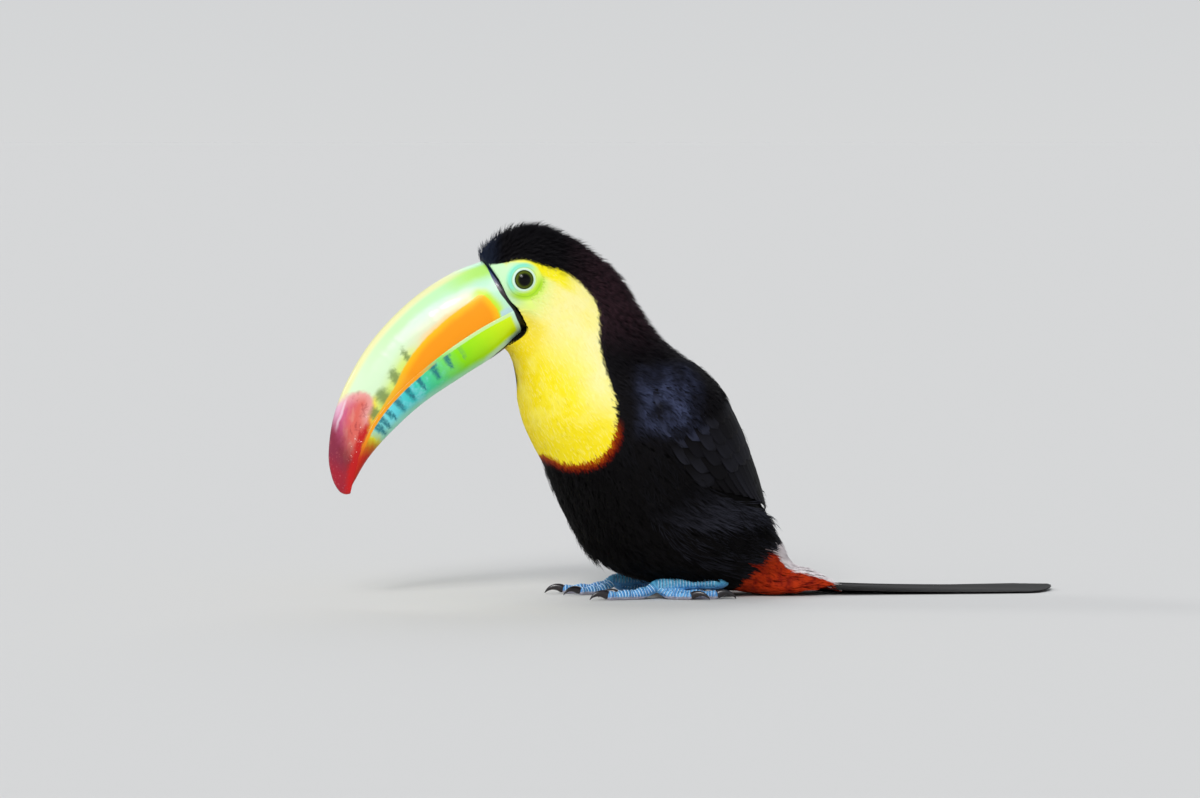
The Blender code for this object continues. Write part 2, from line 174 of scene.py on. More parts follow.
def rib_point(at, angle):
    """Places on the solids' surface, in millimetres."""
    low_y, low_z, top_y, top_z, half, level, round_ = np.moveaxis(smooth_between(RIB_TABLE, at), -1, 0)
    up, out = -np.cos(angle), np.sin(angle)
    reach = np.where(up < 0, level, 1 - level) * np.sign(up) * np.abs(up) ** round_ + level
    across = half * np.sign(out) * np.abs(out) ** round_
    return np.stack([across, low_y + reach * (top_y - low_y), low_z + reach * (top_z - low_z)], axis=-1)


def body_frame(at, angle):
    """The place, the direction backwards along the body, the direction round it and the outward normal."""
    step = 0.02
    place = rib_point(at, angle)
    back = rib_point(np.minimum(at + step, RIB_END), angle) - rib_point(np.maximum(at - step, 0), angle)
    round_ = rib_point(at, angle + step) - rib_point(at, angle - step)
    return place, back / (2 * step), round_ / (2 * step), unit(np.cross(back, round_))


def wing_share(at, angle):
    """The share across the folded wing, from its lower edge to its upper, and the wing's own thickness."""
    station = np.interp(at, WING_STATIONS, np.arange(len(WING_STATIONS)), left=-1, right=-1)
    table = np.array([WING_LOW_EDGE, WING_HIGH_EDGE, WING_THICK]).T
    low, high, thick = np.moveaxis(smooth_between(table, np.maximum(station, 0)), -1, 0)
    turned = np.degrees(np.mod(angle, TAU))
    turned = np.where(turned > 180, 360 - turned, turned)
    share = (turned - low) / (high - low)
    return np.where(station < 0, -1, share), thick


def wing_height(at, angle):
    """How far the folded wing's surface stands over the trunk."""
    share, thick = wing_share(at, angle)
    inside = np.clip(share, 0, 1)
    bulge = WING_EDGE_THICK + (thick - WING_EDGE_THICK) * np.sin(np.pi * inside) ** 0.7
    ends = ease(at, 8.15, 8.5) * (1 - ease(at, 13.45, 13.6))
    return (WING_GAP + bulge) * ease(share, -0.015, 0.03) * (1 - ease(share, 0.97, 1.015)) * ends


def view_plane(points):
    """Places in the marking plane: (across, up)."""
    across = points[..., 1] * math.cos(VIEW_TURN) + np.abs(points[..., 0]) * math.sin(VIEW_TURN)
    return across, points[..., 2]


def inside_by(outline, across, up):
    """How far places lie inside a closed outline, in millimetres. It is negative outside."""
    outline = np.asarray(outline, float)
    nearest = np.full(np.shape(across), 1e9)
    inside = np.zeros(np.shape(across), bool)
    for (ax, ay), (bx, by) in zip(outline, np.roll(outline, -1, axis=0)):
        dx, dy = bx - ax, by - ay
        t = np.clip(((across - ax) * dx + (up - ay) * dy) / max(dx * dx + dy * dy, 1e-9), 0, 1)
        nearest = np.minimum(nearest, (across - ax - t * dx) ** 2 + (up - ay - t * dy) ** 2)
        crosses = (ay > up) != (by > up)
        with np.errstate(divide="ignore", invalid="ignore"):
            inside ^= crosses & (across < ax + (up - ay) * dx / (dy if dy else 1e-9))
    return np.sqrt(nearest) * np.where(inside, 1, -1)


def smooth_outline(edge, count, *closing):
    """A closed outline: the smooth curve through edge, then straight through the closing points."""
    return np.concatenate([along_curve(edge, np.linspace(0, 1, count)), np.array(closing, float)])


BIB_OUTLINE = smooth_outline(BIB_EDGE, 60, (-45, 55), (-90, 90), (-90, 160))
ORANGE_OUTLINE = smooth_outline(ORANGE_EDGE, 50, (-108, 70), (-90, 90), (-60, 115))
TIP_OUTLINE = smooth_outline(TIP_EDGE, 30, (-118, 40), (-160, 40), (-160, 100))
VENT_OUTLINE = np.array(((62, -8), (66.5, 1.5), (74.0, 10.0), (82.0, 17.5), (89.5, 24.0), (95, 25),
                         (130, 12), (130, -8)), float)
BAND_OUTLINE = smooth_outline(BAND_EDGE, 40, (-60, 110), (-100, 50), (-170, 30), (-170, 200), (-62, 190))
BAND_REAR_OUTLINE = smooth_outline(BAND_REAR_EDGE, 30, (-80, 95), (-90, 190), (-58, 175))
# The bill's root over the brow and round the gape, its lower edge, then well clear of it.
BILL_OUTLINE = np.concatenate([[(-73.4, 189.8), TOMIUM[0], GONYS[0]],
                               along_curve(GONYS, (0.06, 0.12, 0.2, 0.3)),
                               [(-95, 105), (-170, 40), (-170, 200)]])


def markings(points):
    """What the colours go by, for every place: see plumage_finish."""
    across, up = view_plane(points)
    y, z = points[..., 1], points[..., 2]
    return {
        "bib": inside_by(BIB_OUTLINE, across, up),
        "vent": inside_by(VENT_OUTLINE, across, up),
        "band": inside_by(BAND_REAR_OUTLINE, across, up),
        "eye_way": np.hypot(y - EYE[0], z - EYE[1]),
        "bill_way": -inside_by(BILL_OUTLINE, y, z),
        "across": across,
        "up": up,
    }


def coat_depth(points):
    """How deep the skin lies under the solids' surface: the thickness of the plumage."""
    mark = markings(points)
    depth = BLACK_COAT - (BLACK_COAT - YELLOW_COAT) * ease(mark["bib"], -4, 4)
    depth = depth - FACE_THINNER * ease(mark["bib"], -2, 4) * ease(mark["up"], 106, 124)
    bare = np.maximum(1 - ease(mark["bill_way"], 0, 9), 1 - ease(mark["eye_way"], 8, 15))
    return depth * (1 - bare) + BARE_COAT * bare


def root_way(mark):
    """The distance back from the bill's root or from the black band's rear edge, whichever is larger."""
    return np.maximum(mark["bill_way"], -mark["band"] - 0.2)


def bill_sink(mark):
    """How far the face draws in towards the bill's root, dives under its rim, and draws in at the throat."""
    way = root_way(mark)
    throat = ease(mark["across"], -35, -44) * ease(mark["up"], 98, 108) * ease(mark["up"], 130, 119)
    return 1.9 * (1 - ease(way, -0.5, 7.5)) + 4.5 * np.clip(0.1 - way, 0, 4) + 2.3 * throat


# ---- meshes ----


def in_scene(name, data):
    """An object for the data, in the scene."""
    made = bpy.data.objects.new(name, data)
    bpy.context.scene.collection.objects.link(made)
    return made


def mesh_object(name, points, faces, material, attributes=None, uv=None, shading=None):
    """An object from points in millimetres and lists of faces' corner numbers, with its place in its mesh.
    shading, where it is given, is the direction that each point is lit from as if it faced that way."""
    points = np.asarray(points, float).reshape(-1, 3)
    mesh = bpy.data.meshes.new(name)
    sizes = np.concatenate([np.full(len(group), group.shape[1]) for group in faces])
    corners = np.concatenate([group.reshape(-1) for group in faces])
    mesh.vertices.add(len(points))
    mesh.vertices.foreach_set("co", ((points + (0, SHIFT_Y, 0)) * MM).astype(np.float32).reshape(-1))
    mesh.loops.add(len(corners))
    mesh.loops.foreach_set("vertex_index", corners.astype(np.int32))
    mesh.polygons.add(len(sizes))
    starts = np.concatenate([[0], np.cumsum(sizes)[:-1]])
    mesh.polygons.foreach_set("loop_start", starts.astype(np.int32))
    mesh.polygons.foreach_set("use_smooth", np.full(len(sizes), True))
    mesh.update(calc_edges=True)
    for key, values in (attributes or {}).items():
        layer = mesh.attributes.new(key, "FLOAT", "POINT")
        layer.data.foreach_set("value", np.asarray(values, np.float32).reshape(-1))
    for key, places in (uv or {}).items():
        layer = mesh.uv_layers.new(name=key)
        layer.data.foreach_set("uv", np.asarray(places, np.float32).reshape(-1, 2)[corners].reshape(-1))
    if shading is not None:
        mesh.normals_split_custom_set_from_vertices(unit(shading.reshape(-1, 3)).astype(np.float32))
    mesh.materials.append(material)
    return in_scene(name, mesh)


def ring_faces(count, around):
    """Quads between count rings of points, around points in each."""
    corner, start = np.arange(around), np.arange(count - 1)[:, None] * around
    a = (start + corner).reshape(-1)
    b = (start + (corner + 1) % around).reshape(-1)
    return np.stack([a, b, b + around, a + around], axis=1)


def closed_faces(count, around, bodies=1):
    """The faces of closed bodies, each through count rings of points: quads, then both end rings' caps."""
    ring = np.arange(around)
    one = (ring_faces(count, around), ring[::-1][None], (ring + (count - 1) * around)[None])
    return [np.concatenate([part + i * count * around for i in range(bodies)]) for part in one]


def keep_outward(made):
    """Turns the faces of one closed body so that they point outwards."""
    bm = bmesh.new()
    bm.from_mesh(made.data)
    bmesh.ops.recalc_face_normals(bm, faces=bm.faces)
    if bm.calc_volume(signed=True) < 0:
        bmesh.ops.reverse_faces(bm, faces=bm.faces)
    bm.to_mesh(made.data)
    bm.free()
    return made


def ringed(name, rings, material, attributes=None):
    """A closed body through rings of points, with a cap on each end ring."""
    return keep_outward(mesh_object(name, rings, closed_faces(*rings.shape[:2]), material, attributes))


# ---- shader maths ----


class Value:
    """A shader value that takes Python arithmetic."""

    def __init__(self, finish, socket):
        self.finish, self.socket = finish, socket

    def __add__(self, other):
        return self.finish.math("ADD", self, other)

    def __sub__(self, other):
        return self.finish.math("SUBTRACT", self, other)

    def __rsub__(self, other):
        return self.finish.math("SUBTRACT", other, self)

    def __mul__(self, other):
        return self.finish.math("MULTIPLY", self, other)

    def __truediv__(self, other):
        return self.finish.math("DIVIDE", self, other)

    def __neg__(self):
        return self * -1

    def __abs__(self):
        return self.finish.math("ABSOLUTE", self)

    __radd__, __rmul__ = __add__, __mul__


class Finish:
    """A material built from its shader's maths."""

    def __init__(self, name, **sockets):
        self.material = bpy.data.materials.new(name)
        self.material.use_nodes = True
        self.nodes, self.links = self.material.node_tree.nodes, self.material.node_tree.links
        self.shader = self.nodes["Principled BSDF"]
        self.feed(self.shader, sockets)

    def feed(self, node, sockets):
        for key, value in sockets.items():
            socket = node.inputs[key.replace("_", " ") if isinstance(key, str) else key]
            if isinstance(value, Value):
                self.links.new(value.socket, socket)
            elif isinstance(value, tuple) and len(value) == 3 and socket.type == "RGBA":
                socket.default_value = (*value, 1)
            else:
                socket.default_value = value

    def node(self, kind, settings, sockets, output=0):
        """Makes any node: its settings first, then its sockets' values or links. Gives one output."""
        made = self.nodes.new(kind)
        for key, value in settings.items():
            if key == "stops":
                ramp = made.color_ramp.elements
                while len(ramp) < len(value):
                    ramp.new(0.5)
                for stop, (place, colour) in zip(ramp, value):
                    stop.position, stop.color = place, (*colour, 1)
            else:
                setattr(made, key, value)
        self.feed(made, sockets)
        return Value(self, made.outputs[output])

    def math(self, operation, *values):
        return self.node("ShaderNodeMath", {"operation": operation}, dict(enumerate(values)))

    def larger(self, first, second):
        return self.math("MAXIMUM", first, second)

    def mix(self, share, first, second):
        """A colour between two, by share."""
        return self.node("ShaderNodeMix", {"data_type": "RGBA", "clamp_factor": True},
                         {0: share, 6: first, 7: second}, 2)

    def ease(self, value, low, high, start=0.0, end=1.0):
        """start at low, end at high, with a smooth turn at both ends."""
        return self.node("ShaderNodeMapRange", {"interpolation_type": "SMOOTHSTEP", "clamp": True},
                         {0: value, 1: low, 2: high, 3: start, 4: end})

    def attribute(self, name):
        return self.node("ShaderNodeAttribute", {"attribute_name": name}, {}, 2)

    def place(self):
        return self.node("ShaderNodeTexCoord", {}, {}, 3)

    def part(self, axis):
        """X, Y or Z of the place, in millimetres from the row's origin."""
        return self.node("ShaderNodeSeparateXYZ", {}, {0: self.place()}, "XYZ".index(axis)) * 1000

    def noise(self, size, detail, stretch=(1, 1, 1)):
        """Soft noise about 0 in -0.5 to 0.5. size is its grain in millimetres."""
        grain = Vector([1000 / size * s for s in stretch])
        place = self.node("ShaderNodeMapping", {}, {0: self.place(), 3: grain})
        return self.node("ShaderNodeTexNoise", {}, {"Vector": place, "Scale": 1.0, "Detail": detail}) - 0.5

    def ramp(self, value, *stops):
        """A colour by value, from stops of a place and a colour."""
        return self.node("ShaderNodeValToRGB", {"stops": stops}, {0: value})

    def bump(self, height, distance_mm, strength=1.0):
        self.feed(self.shader, {"Normal": self.node("ShaderNodeBump", {}, {
            "Strength": strength, "Distance": distance_mm * MM, "Height": height})})

    def set(self, **sockets):
        self.feed(self.shader, sockets)
        return self


def band_black_and_painted_sheen(f, up):
    """The band round the bill's root: black, with a painted blue and mauve sheen on its upper half."""
    return f.ramp((up - 140) / 40, (0.20, (0.004, 0.004, 0.004)), (0.28, (0.018, 0.014, 0.015)),
                  (0.40, (0.075, 0.055, 0.08)), (0.50, (0.12, 0.12, 0.22)), (0.58, (0.05, 0.09, 0.21)),
                  (0.68, (0.008, 0.013, 0.032)))


def plumage_finish(name, fine_bump=0):
    """The one finish of skin and plumage, by the markings. tip is 0 at a feather's root and 1 at its end,
    and chance is the feather's own, in 0 to 1."""
    f = Finish(name)
    bib, vent, eye_way, bill_way = (f.attribute(key) for key in ("bib", "vent", "eye_way", "bill_way"))
    across, up, tip, chance, band = (f.attribute(key) for key in ("across", "up", "tip", "chance", "band"))
    drift = f.noise(9, 3)
    edge = bib - 0.6 - f.ease(up, 104, 88) * 1.5 + drift * 1.4 + (chance - 0.5) * 1.0

    lemon, pale, golden = (0.97, 0.80, 0.016), (0.96, 0.88, 0.34), (0.86, 0.60, 0.0)
    yellow = f.mix(f.ease(up + across * 0.8, 128, 90), pale, lemon)
    rear = f.ease(across - (up - 100) * 0.1, -14, 2) * f.ease(up, 84, 112)
    yellow = f.mix(rear * 0.8, yellow, (0.96, 0.89, 0.42))
    yellow = f.mix(f.ease(across + (up - 100) * 0.12, -24, -43) * 0.95, yellow, golden)
    yellow = f.mix(f.ease(up + across * 0.4, 96, 78) * 0.5, yellow, (0.92, 0.72, 0.01))
    yellow = f.mix(f.ease(drift, -0.12, 0.16) * f.ease(up, 76, 90) * 0.4, yellow, (0.97, 0.87, 0.16))
    lore = f.ease(eye_way + drift * 6, 25, 9) * f.ease(across, -17, -31) * f.ease(up, 170, 160)
    yellow = f.mix(lore * 0.9, yellow, (0.72, 0.89, 0.24))
    bare = f.ease(eye_way, 12.8, 9.6)
    beside_bill = f.ease(bill_way, 9.0, 5.5) * f.ease(up, 143, 149) * f.ease(up, 169.5, 167.5)
    bare = f.larger(bare, beside_bill)
    lime_skin = f.mix(f.ease(across, -46, -33), (0.58, 0.88, 0.52), (0.74, 0.92, 0.18))
    yellow = f.mix(bare, yellow, lime_skin)
    turquoise = f.ease(eye_way, 5.6, 6.6) * f.ease(eye_way, 9.6, 7.2) * f.ease(up * 0.7 - across, 144, 154)
    yellow = f.mix(turquoise, yellow, (0.26, 0.80, 0.58))
    lime_low = f.ease(eye_way, 6.0, 7.2) * f.ease(eye_way, 11.5, 8.8) * f.ease(up - across * 0.5, 178.5, 171)
    yellow = f.mix(lime_low * 0.95, yellow, (0.40, 0.70, 0.02))
    crease = f.ease(abs(eye_way + f.noise(4, 1) * 1.2 - 8.35), 0.5, 0.05) * f.ease(up, 162, 155)
    yellow = f.mix(crease * 0.35, yellow, (0.16, 0.40, 0.02))
    crease = f.ease(abs(eye_way + f.noise(4, 1) * 0.8 - 6.25), 0.3, 0.1)
    yellow = f.mix(crease * 0.35, yellow, (0.20, 0.50, 0.22))
    gape = f.ease(bill_way + drift * 3, 10, 2.5) * f.ease(up + across * 0.3, 134, 128)
    yellow = f.mix(gape * 0.6, yellow, (0.94, 0.72, 0.0))
    brow = f.ease(eye_way + drift * 2, 7.8, 9.4) * f.ease(up + across * 0.6, 142.5, 146.5)
    brow = f.larger(brow * f.ease(across, -7, -19), f.ease(up + drift * 1.5, 167.2, 168.8))
    brow_yellow = f.mix(f.ease(across, -42, -30), (0.95, 0.93, 0.16), (0.93, 0.82, 0.0))
    yellow = f.mix(brow * 0.95, yellow, brow_yellow)
    lids = f.ease(eye_way, 6.05, 5.45) * f.ease(eye_way, 4.7, 4.95)
    yellow = f.mix(lids * 0.9, yellow, (0.66, 0.88, 0.80))
    yellow = f.mix(f.ease(eye_way, 4.95, 4.6), yellow, (0.06, 0.10, 0.07))
    feather = f.ease(eye_way, 10, 13)
    yellow = f.mix(f.ease(chance, 0.7, 1.0) * feather * 0.14, yellow, (0.88, 0.64, 0.0))
    yellow = f.mix(f.ease(chance, 0.35, 0.0) * feather * 0.22, yellow, (0.98, 0.92, 0.46))

    black = f.mix(f.ease(up, 40, 130), (0.0020, 0.0017, 0.0018), (0.0042, 0.0035, 0.0046))
    maroon = f.ease(across, -22, 4) * f.ease(up, 118, 148) * f.ease(f.noise(2.6, 3) + tip * 0.3, -0.1, 0.35)
    black = f.mix(maroon * 0.9, black, (0.042, 0.019, 0.025))
    black = f.mix(f.ease(across, -47, -56) * f.ease(up, 150, 165) * 0.9, black, (0.013, 0.019, 0.038))
    # Painted sheen: some feathers' tips lighter, standing in for the highlights they catch.
    blue = f.ease(tip, 0.5, 1.0) * f.ease(chance, 0.35, 0.9)
    black = f.mix(blue * f.ease(drift, -0.2, 0.3) * 0.45, black, (0.011, 0.010, 0.013))
    # Painted sheen: patches of blue-grey highlight laid into the black over the shoulder.
    shoulder = f.ease(across, 14, 26) * f.ease(across, 54, 38) * f.ease(up, 78, 94) * f.ease(up, 121, 107)
    sheen = f.ease(f.noise(12, 2), -0.3, 0.2) * f.ease(tip + chance * 0.6, 0.4, 1.2)
    black = f.mix(shoulder * sheen * 0.9, black, (0.060, 0.073, 0.145))
    # Painted sheen: lighter blue-grey on the strands and feathers that carry it, towards their tips.
    gloss = f.attribute("gloss") * f.ease(tip, 0.2, 0.8) * f.ease(chance, -0.2, 0.9)
    black = f.mix(gloss, black, (0.036, 0.037, 0.052))

    red_line = f.ease(edge, -4.6, -3.3) * f.ease(up + across * 0.5, 98, 87)
    red = f.mix(f.ease(edge, -3.6, -0.6), (0.10, 0.003, 0.001), (0.34, 0.045, 0.001))
    dark = f.mix(red_line, black, red)
    vent_red = f.ease(f.noise(5, 3) + tip * 0.3, -0.1, 0.35)
    vent_red = f.mix(vent_red, (0.13, 0.003, 0.002), (0.42, 0.030, 0.004))
    dark = f.mix(f.ease(vent + (chance - 0.5) * 2.0, -0.8, 0.8), dark, vent_red)
    rump = f.attribute("rump")
    dark = f.mix(f.ease(rump + (chance - 0.5) * 1.6, -0.5, 0.7), dark, (0.78, 0.70, 0.70))
    plumage = f.mix(f.ease(edge, -0.7, 0.7), dark, yellow)
    colour = f.mix(f.ease(band + drift * 0.6, -0.25, 0.25), plumage, band_black_and_painted_sheen(f, up))
    f.set(Base_Color=colour, Roughness=f.ease(eye_way, 9, 13, 0.42, 0.6), Specular_IOR_Level=0.06)
    if fine_bump:
        f.bump(f.noise(0.7, 3), 0.12, fine_bump)
    return f.material


# ---- the skin ----

# The face's own x beside the eyes, for lids and folds that are level with it.
FACE_X = abs(rib_point(np.array([2.16]), np.array([math.radians(101)]))[0, 0])
# Rings of folds in the bare skin: each one's distance from the eye's middle and its height.
FOLDS = ((4.4, 0.12), (4.75, 0.44), (5.3, 0.46), (5.8, 0.10), (6.4, 0.26), (7.0, 0.02), (7.7, 0.20),
         (8.5, -0.05), (9.4, 0.10), (10.4, -0.03), (12.5, 0.0))


def lids_and_folds(points, mark):
    """Draws the skin round each eye into a lid's rim and rings of folds, and sinks it behind the eyeball."""
    way = mark["eye_way"]
    x, y, z = points[:, 0], points[:, 1], points[:, 2]
    turn = np.arctan2(z - EYE[1], y - EYE[0])
    bent = way * (1 + 0.025 * np.cos(2 * turn + 0.6) + 0.012 * np.sin(5 * turn) * ease(way, 5, 7))
    radii, heights = np.array(FOLDS).T
    fade = 0.75 + 0.25 * np.cos(turn - 2.2)
    profile = np.interp(bent, radii, heights) * np.where(bent > 5.8, fade, 1)
    profile = np.where(bent < LID_RADIUS, 0.12 - 2.6 * ease(bent, LID_RADIUS, 3.0), profile)
    level = FACE_X - 0.35 + profile
    natural = np.abs(x)
    near = 1 - ease(bent, 5.6, ORBIT_RADIUS)
    side = np.where(x < 0, -1, 1)
    folded = natural + (level - natural) * near + profile * (1 - near) * ease(bent, ORBIT_RADIUS, 9)
    points[:, 0] = np.where(way < ORBIT_RADIUS, side * folded, x)
    return points


def skin_height(at, angle, place):
    """The skin's height over the solids' surface at a place, with the end under the tail drawn in."""
    end = 3.0 * ease(at, 17.2, LAST_RIB)
    return wing_height(at, angle) - coat_depth(place) - bill_sink(markings(place)) - end


def make_skin(material):
    """One skin over head, neck, trunk and wings, finest round the eyes."""
    fine = 1.0

    def steps(*spans):
        return np.concatenate([np.linspace(low, high, int(count * fine), endpoint=False)
                               for low, high, count in spans[:-1]] + [spans[-1]])

    last = np.linspace(14.0, LAST_RIB, int(34 * fine))
    rows = steps((0.0, 0.8, 12), (0.8, 3.5, 84), (3.5, 8.0, 46), (8.0, 14.0, 80), last)
    half = steps((0, 82, 36), (82, 127, 82), (127, 180, 24), [180])
    around = np.radians(np.concatenate([half[:-1], 360 - half[:0:-1]]))
    at, angle = (v.ravel() for v in np.meshgrid(rows, around, indexing="ij"))
    place, _, _, normal = body_frame(at, angle)
    points = place + normal * skin_height(at, angle, place)[:, None]
    points = lids_and_folds(points, markings(points))
    points[:, 2] = np.maximum(points[:, 2], FLOOR_GAP + 0.1)
    marks = markings(points)
    marks |= {"rump": rump_by(at, angle), "tip": np.full(len(at), 0.2), "chance": np.full(len(at), 0.45)}
    skin = mesh_object("skin", points, closed_faces(len(rows), len(around)), material, marks)
    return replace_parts(keep_outward(skin), "head", "neck", "trunk", "wing_left", "wing_right")


def turned_from_belly(angle):
    """How far round from the belly's middle line a place lies, on either side, in degrees."""
    return np.degrees(np.abs(np.mod(angle + math.pi, TAU) - math.pi))


def rump_by(at, angle):
    """How far inside the white patch over the tail's root a place lies, roughly in millimetres."""
    return np.minimum((at - 14.9) * 12, (turned_from_belly(angle) - 132) * 0.28)


# ---- plumage ----

ROOT_TRIES = 330000  # places drawn for each region's roots, before any is left out

# The stations of a small feather: shares of its length, and of its width there.
VANE_SHARES = np.array([0.0, 0.3, 0.65, 1.0])
VANE_WIDTHS = np.array([0.5, 1.0, 0.8, 0.0])
VANE_MIDDLE = 2  # the station whose markings the whole feather takes


def scatter(rng, wanted, spacing, rows):
    """Roots spread evenly over the body, about spacing millimetres apart, where wanted holds."""
    at, angle = rng.uniform(*rows, ROOT_TRIES), rng.uniform(0, TAU, ROOT_TRIES)
    place, back, round_, _ = body_frame(at, angle)
    area = np.linalg.norm(np.cross(back, round_), axis=-1)
    keep = rng.random(ROOT_TRIES) < area / np.quantile(area, 0.97)
    at, angle, place = at[keep], angle[keep], place[keep]
    keep = wanted(at, angle, markings(place))
    at, angle, place = at[keep], angle[keep], place[keep]
    _, chosen = np.unique(np.floor(place / spacing).astype(int), axis=0, return_index=True)
    return at[chosen], angle[chosen]


def gather(rng, at, angle, size, length):
    """Gathers roots into tufts about size millimetres apart. Gives each root its tuft's own chance, and the
    turn that brings its tip to its tuft's middle line."""
    place, _, round_, _ = body_frame(at, angle)
    middles = rng.choice(len(at), max(int(len(at) * 0.9 / size**1.6), 1), replace=False)
    apart = (place**2).sum(1)[:, None] + (place[middles] ** 2).sum(1)[None] - 2 * place @ place[middles].T
    which = np.argmin(apart, axis=1)
    aside = np.mod(angle[middles][which] - angle + math.pi, TAU) - math.pi
    aside = aside * np.linalg.norm(round_, axis=-1)
    return rng.random(len(middles))[which], np.arctan2(0.75 * np.clip(aside, -size, size), length)


def walk(at, angle, length, turn):
    """A small feather's stations over the body. turn is its heading, 0 straight backwards."""
    rows, rounds = [at], [angle]
    for step in np.diff(VANE_SHARES):
        _, back, round_, _ = body_frame(rows[-1], rounds[-1])
        back, round_ = np.linalg.norm(back, axis=-1), np.linalg.norm(round_, axis=-1)
        rows.append(np.clip(rows[-1] + step * length * np.cos(turn) / back, 0, LAST_TIP))
        rounds.append(rounds[-1] + step * length * np.sin(turn) / np.maximum(round_, 2))
    return np.stack(rows, axis=1), np.stack(rounds, axis=1)


def lay_vanes(name, material, rng, at, angle, length, width, turn, tip_height, chance, gloss, thick=0.14,
              bow=0.55, relief=0.5, lift=0.25, root=0.25):
    """Small feathers over the body, each a closed, three-edged blade: from root millimetres under the skin
    to its tip's height over the solids' surface, which it reaches at bow of its length. relief says how far
    it is lit by its own form rather than the body's, and lift is the spread of the tips' heights."""
    count, edges = len(at), 3
    rows, rounds = walk(at, angle, length, turn)
    place, _, _, normal = (v.reshape(*rows.shape, 3) for v in body_frame(rows.ravel(), rounds.ravel()))
    skin, depth = skin_height(rows, rounds, place), coat_depth(place)
    rise = np.clip(VANE_SHARES / bow, 0, 1) ** 0.8
    height = skin - root * (1 - rise) + (depth + tip_height[:, None]) * rise
    height += (VANE_SHARES**3)[None] * (rng.random(count)[:, None] - 0.4) * lift
    spine = place + normal * height[..., None]
    forward = unit(np.gradient(spine, axis=1))
    side = unit(np.cross(normal, forward))
    half = (width[:, None] * VANE_WIDTHS / 2)[..., None]
    ridge = spine + normal * (thick * VANE_WIDTHS)[None, :, None]

    def corners(left, middle, right, tip):
        rings = np.stack([left, middle, right], axis=2)[:, :-1]
        return np.concatenate([rings.reshape(count, -1, 3), tip[:, -1:]], axis=1)

    points = corners(spine + side * half, ridge, spine - side * half, spine)
    points[..., 2] = np.maximum(points[..., 2], FLOOR_GAP)
    own = unit(np.cross(forward, side))
    own = own * np.sign((own * normal).sum(-1, keepdims=True))
    lit = normal * (1 - relief) + own * relief + side * rng.normal(0, 0.16 * relief, (count, 1, 1))
    lit = corners(lit + side * 0.5 * relief, lit, lit - side * 0.5 * relief, normal)
    per, rings = points.shape[1], len(VANE_SHARES) - 1
    base = (np.arange(count) * per)[:, None, None]
    last = (rings - 1) * edges
    ends = np.array([[last + i, last + (i + 1) % edges, rings * edges] for i in range(edges)])[None] + base
    roots = np.array([[2, 1, 0]])[None] + base
    faces = [(ring_faces(rings, edges)[None] + base).reshape(-1, 4),
             np.concatenate([ends.reshape(-1, 3), roots.reshape(-1, 3)])]
    rump = rump_by(rows[:, VANE_MIDDLE], rounds[:, VANE_MIDDLE])
    marks = markings(spine[:, VANE_MIDDLE]) | {"rump": rump, "chance": chance, "gloss": gloss}
    marks = {key: np.repeat(value, per) for key, value in marks.items()}
    marks["tip"] = np.tile(np.append(np.repeat(VANE_SHARES[:-1], edges), 1.0), count)
    ring, corner = np.divmod(np.arange(per - 1), edges)
    patch = np.append(np.stack([ring / 3 - 0.5, corner / 2 - 0.5], axis=-1), [(0.5, 0)], axis=0)
    places = (bake_place(at, angle)[:, None] + patch[None] * BAKE_PATCH).reshape(-1, 2)
    return mesh_object(name, points, faces, material, marks, {"OFBake": places}, lit)


def bake_place(at, angle):
    """A feather's place on the map for all of them: ribs go across it, and the way round goes up."""
    share = np.stack([at / RIB_END, np.mod(angle, TAU) / TAU], axis=-1)
    return BAKE_MARGIN + (1 - 2 * BAKE_MARGIN) * share


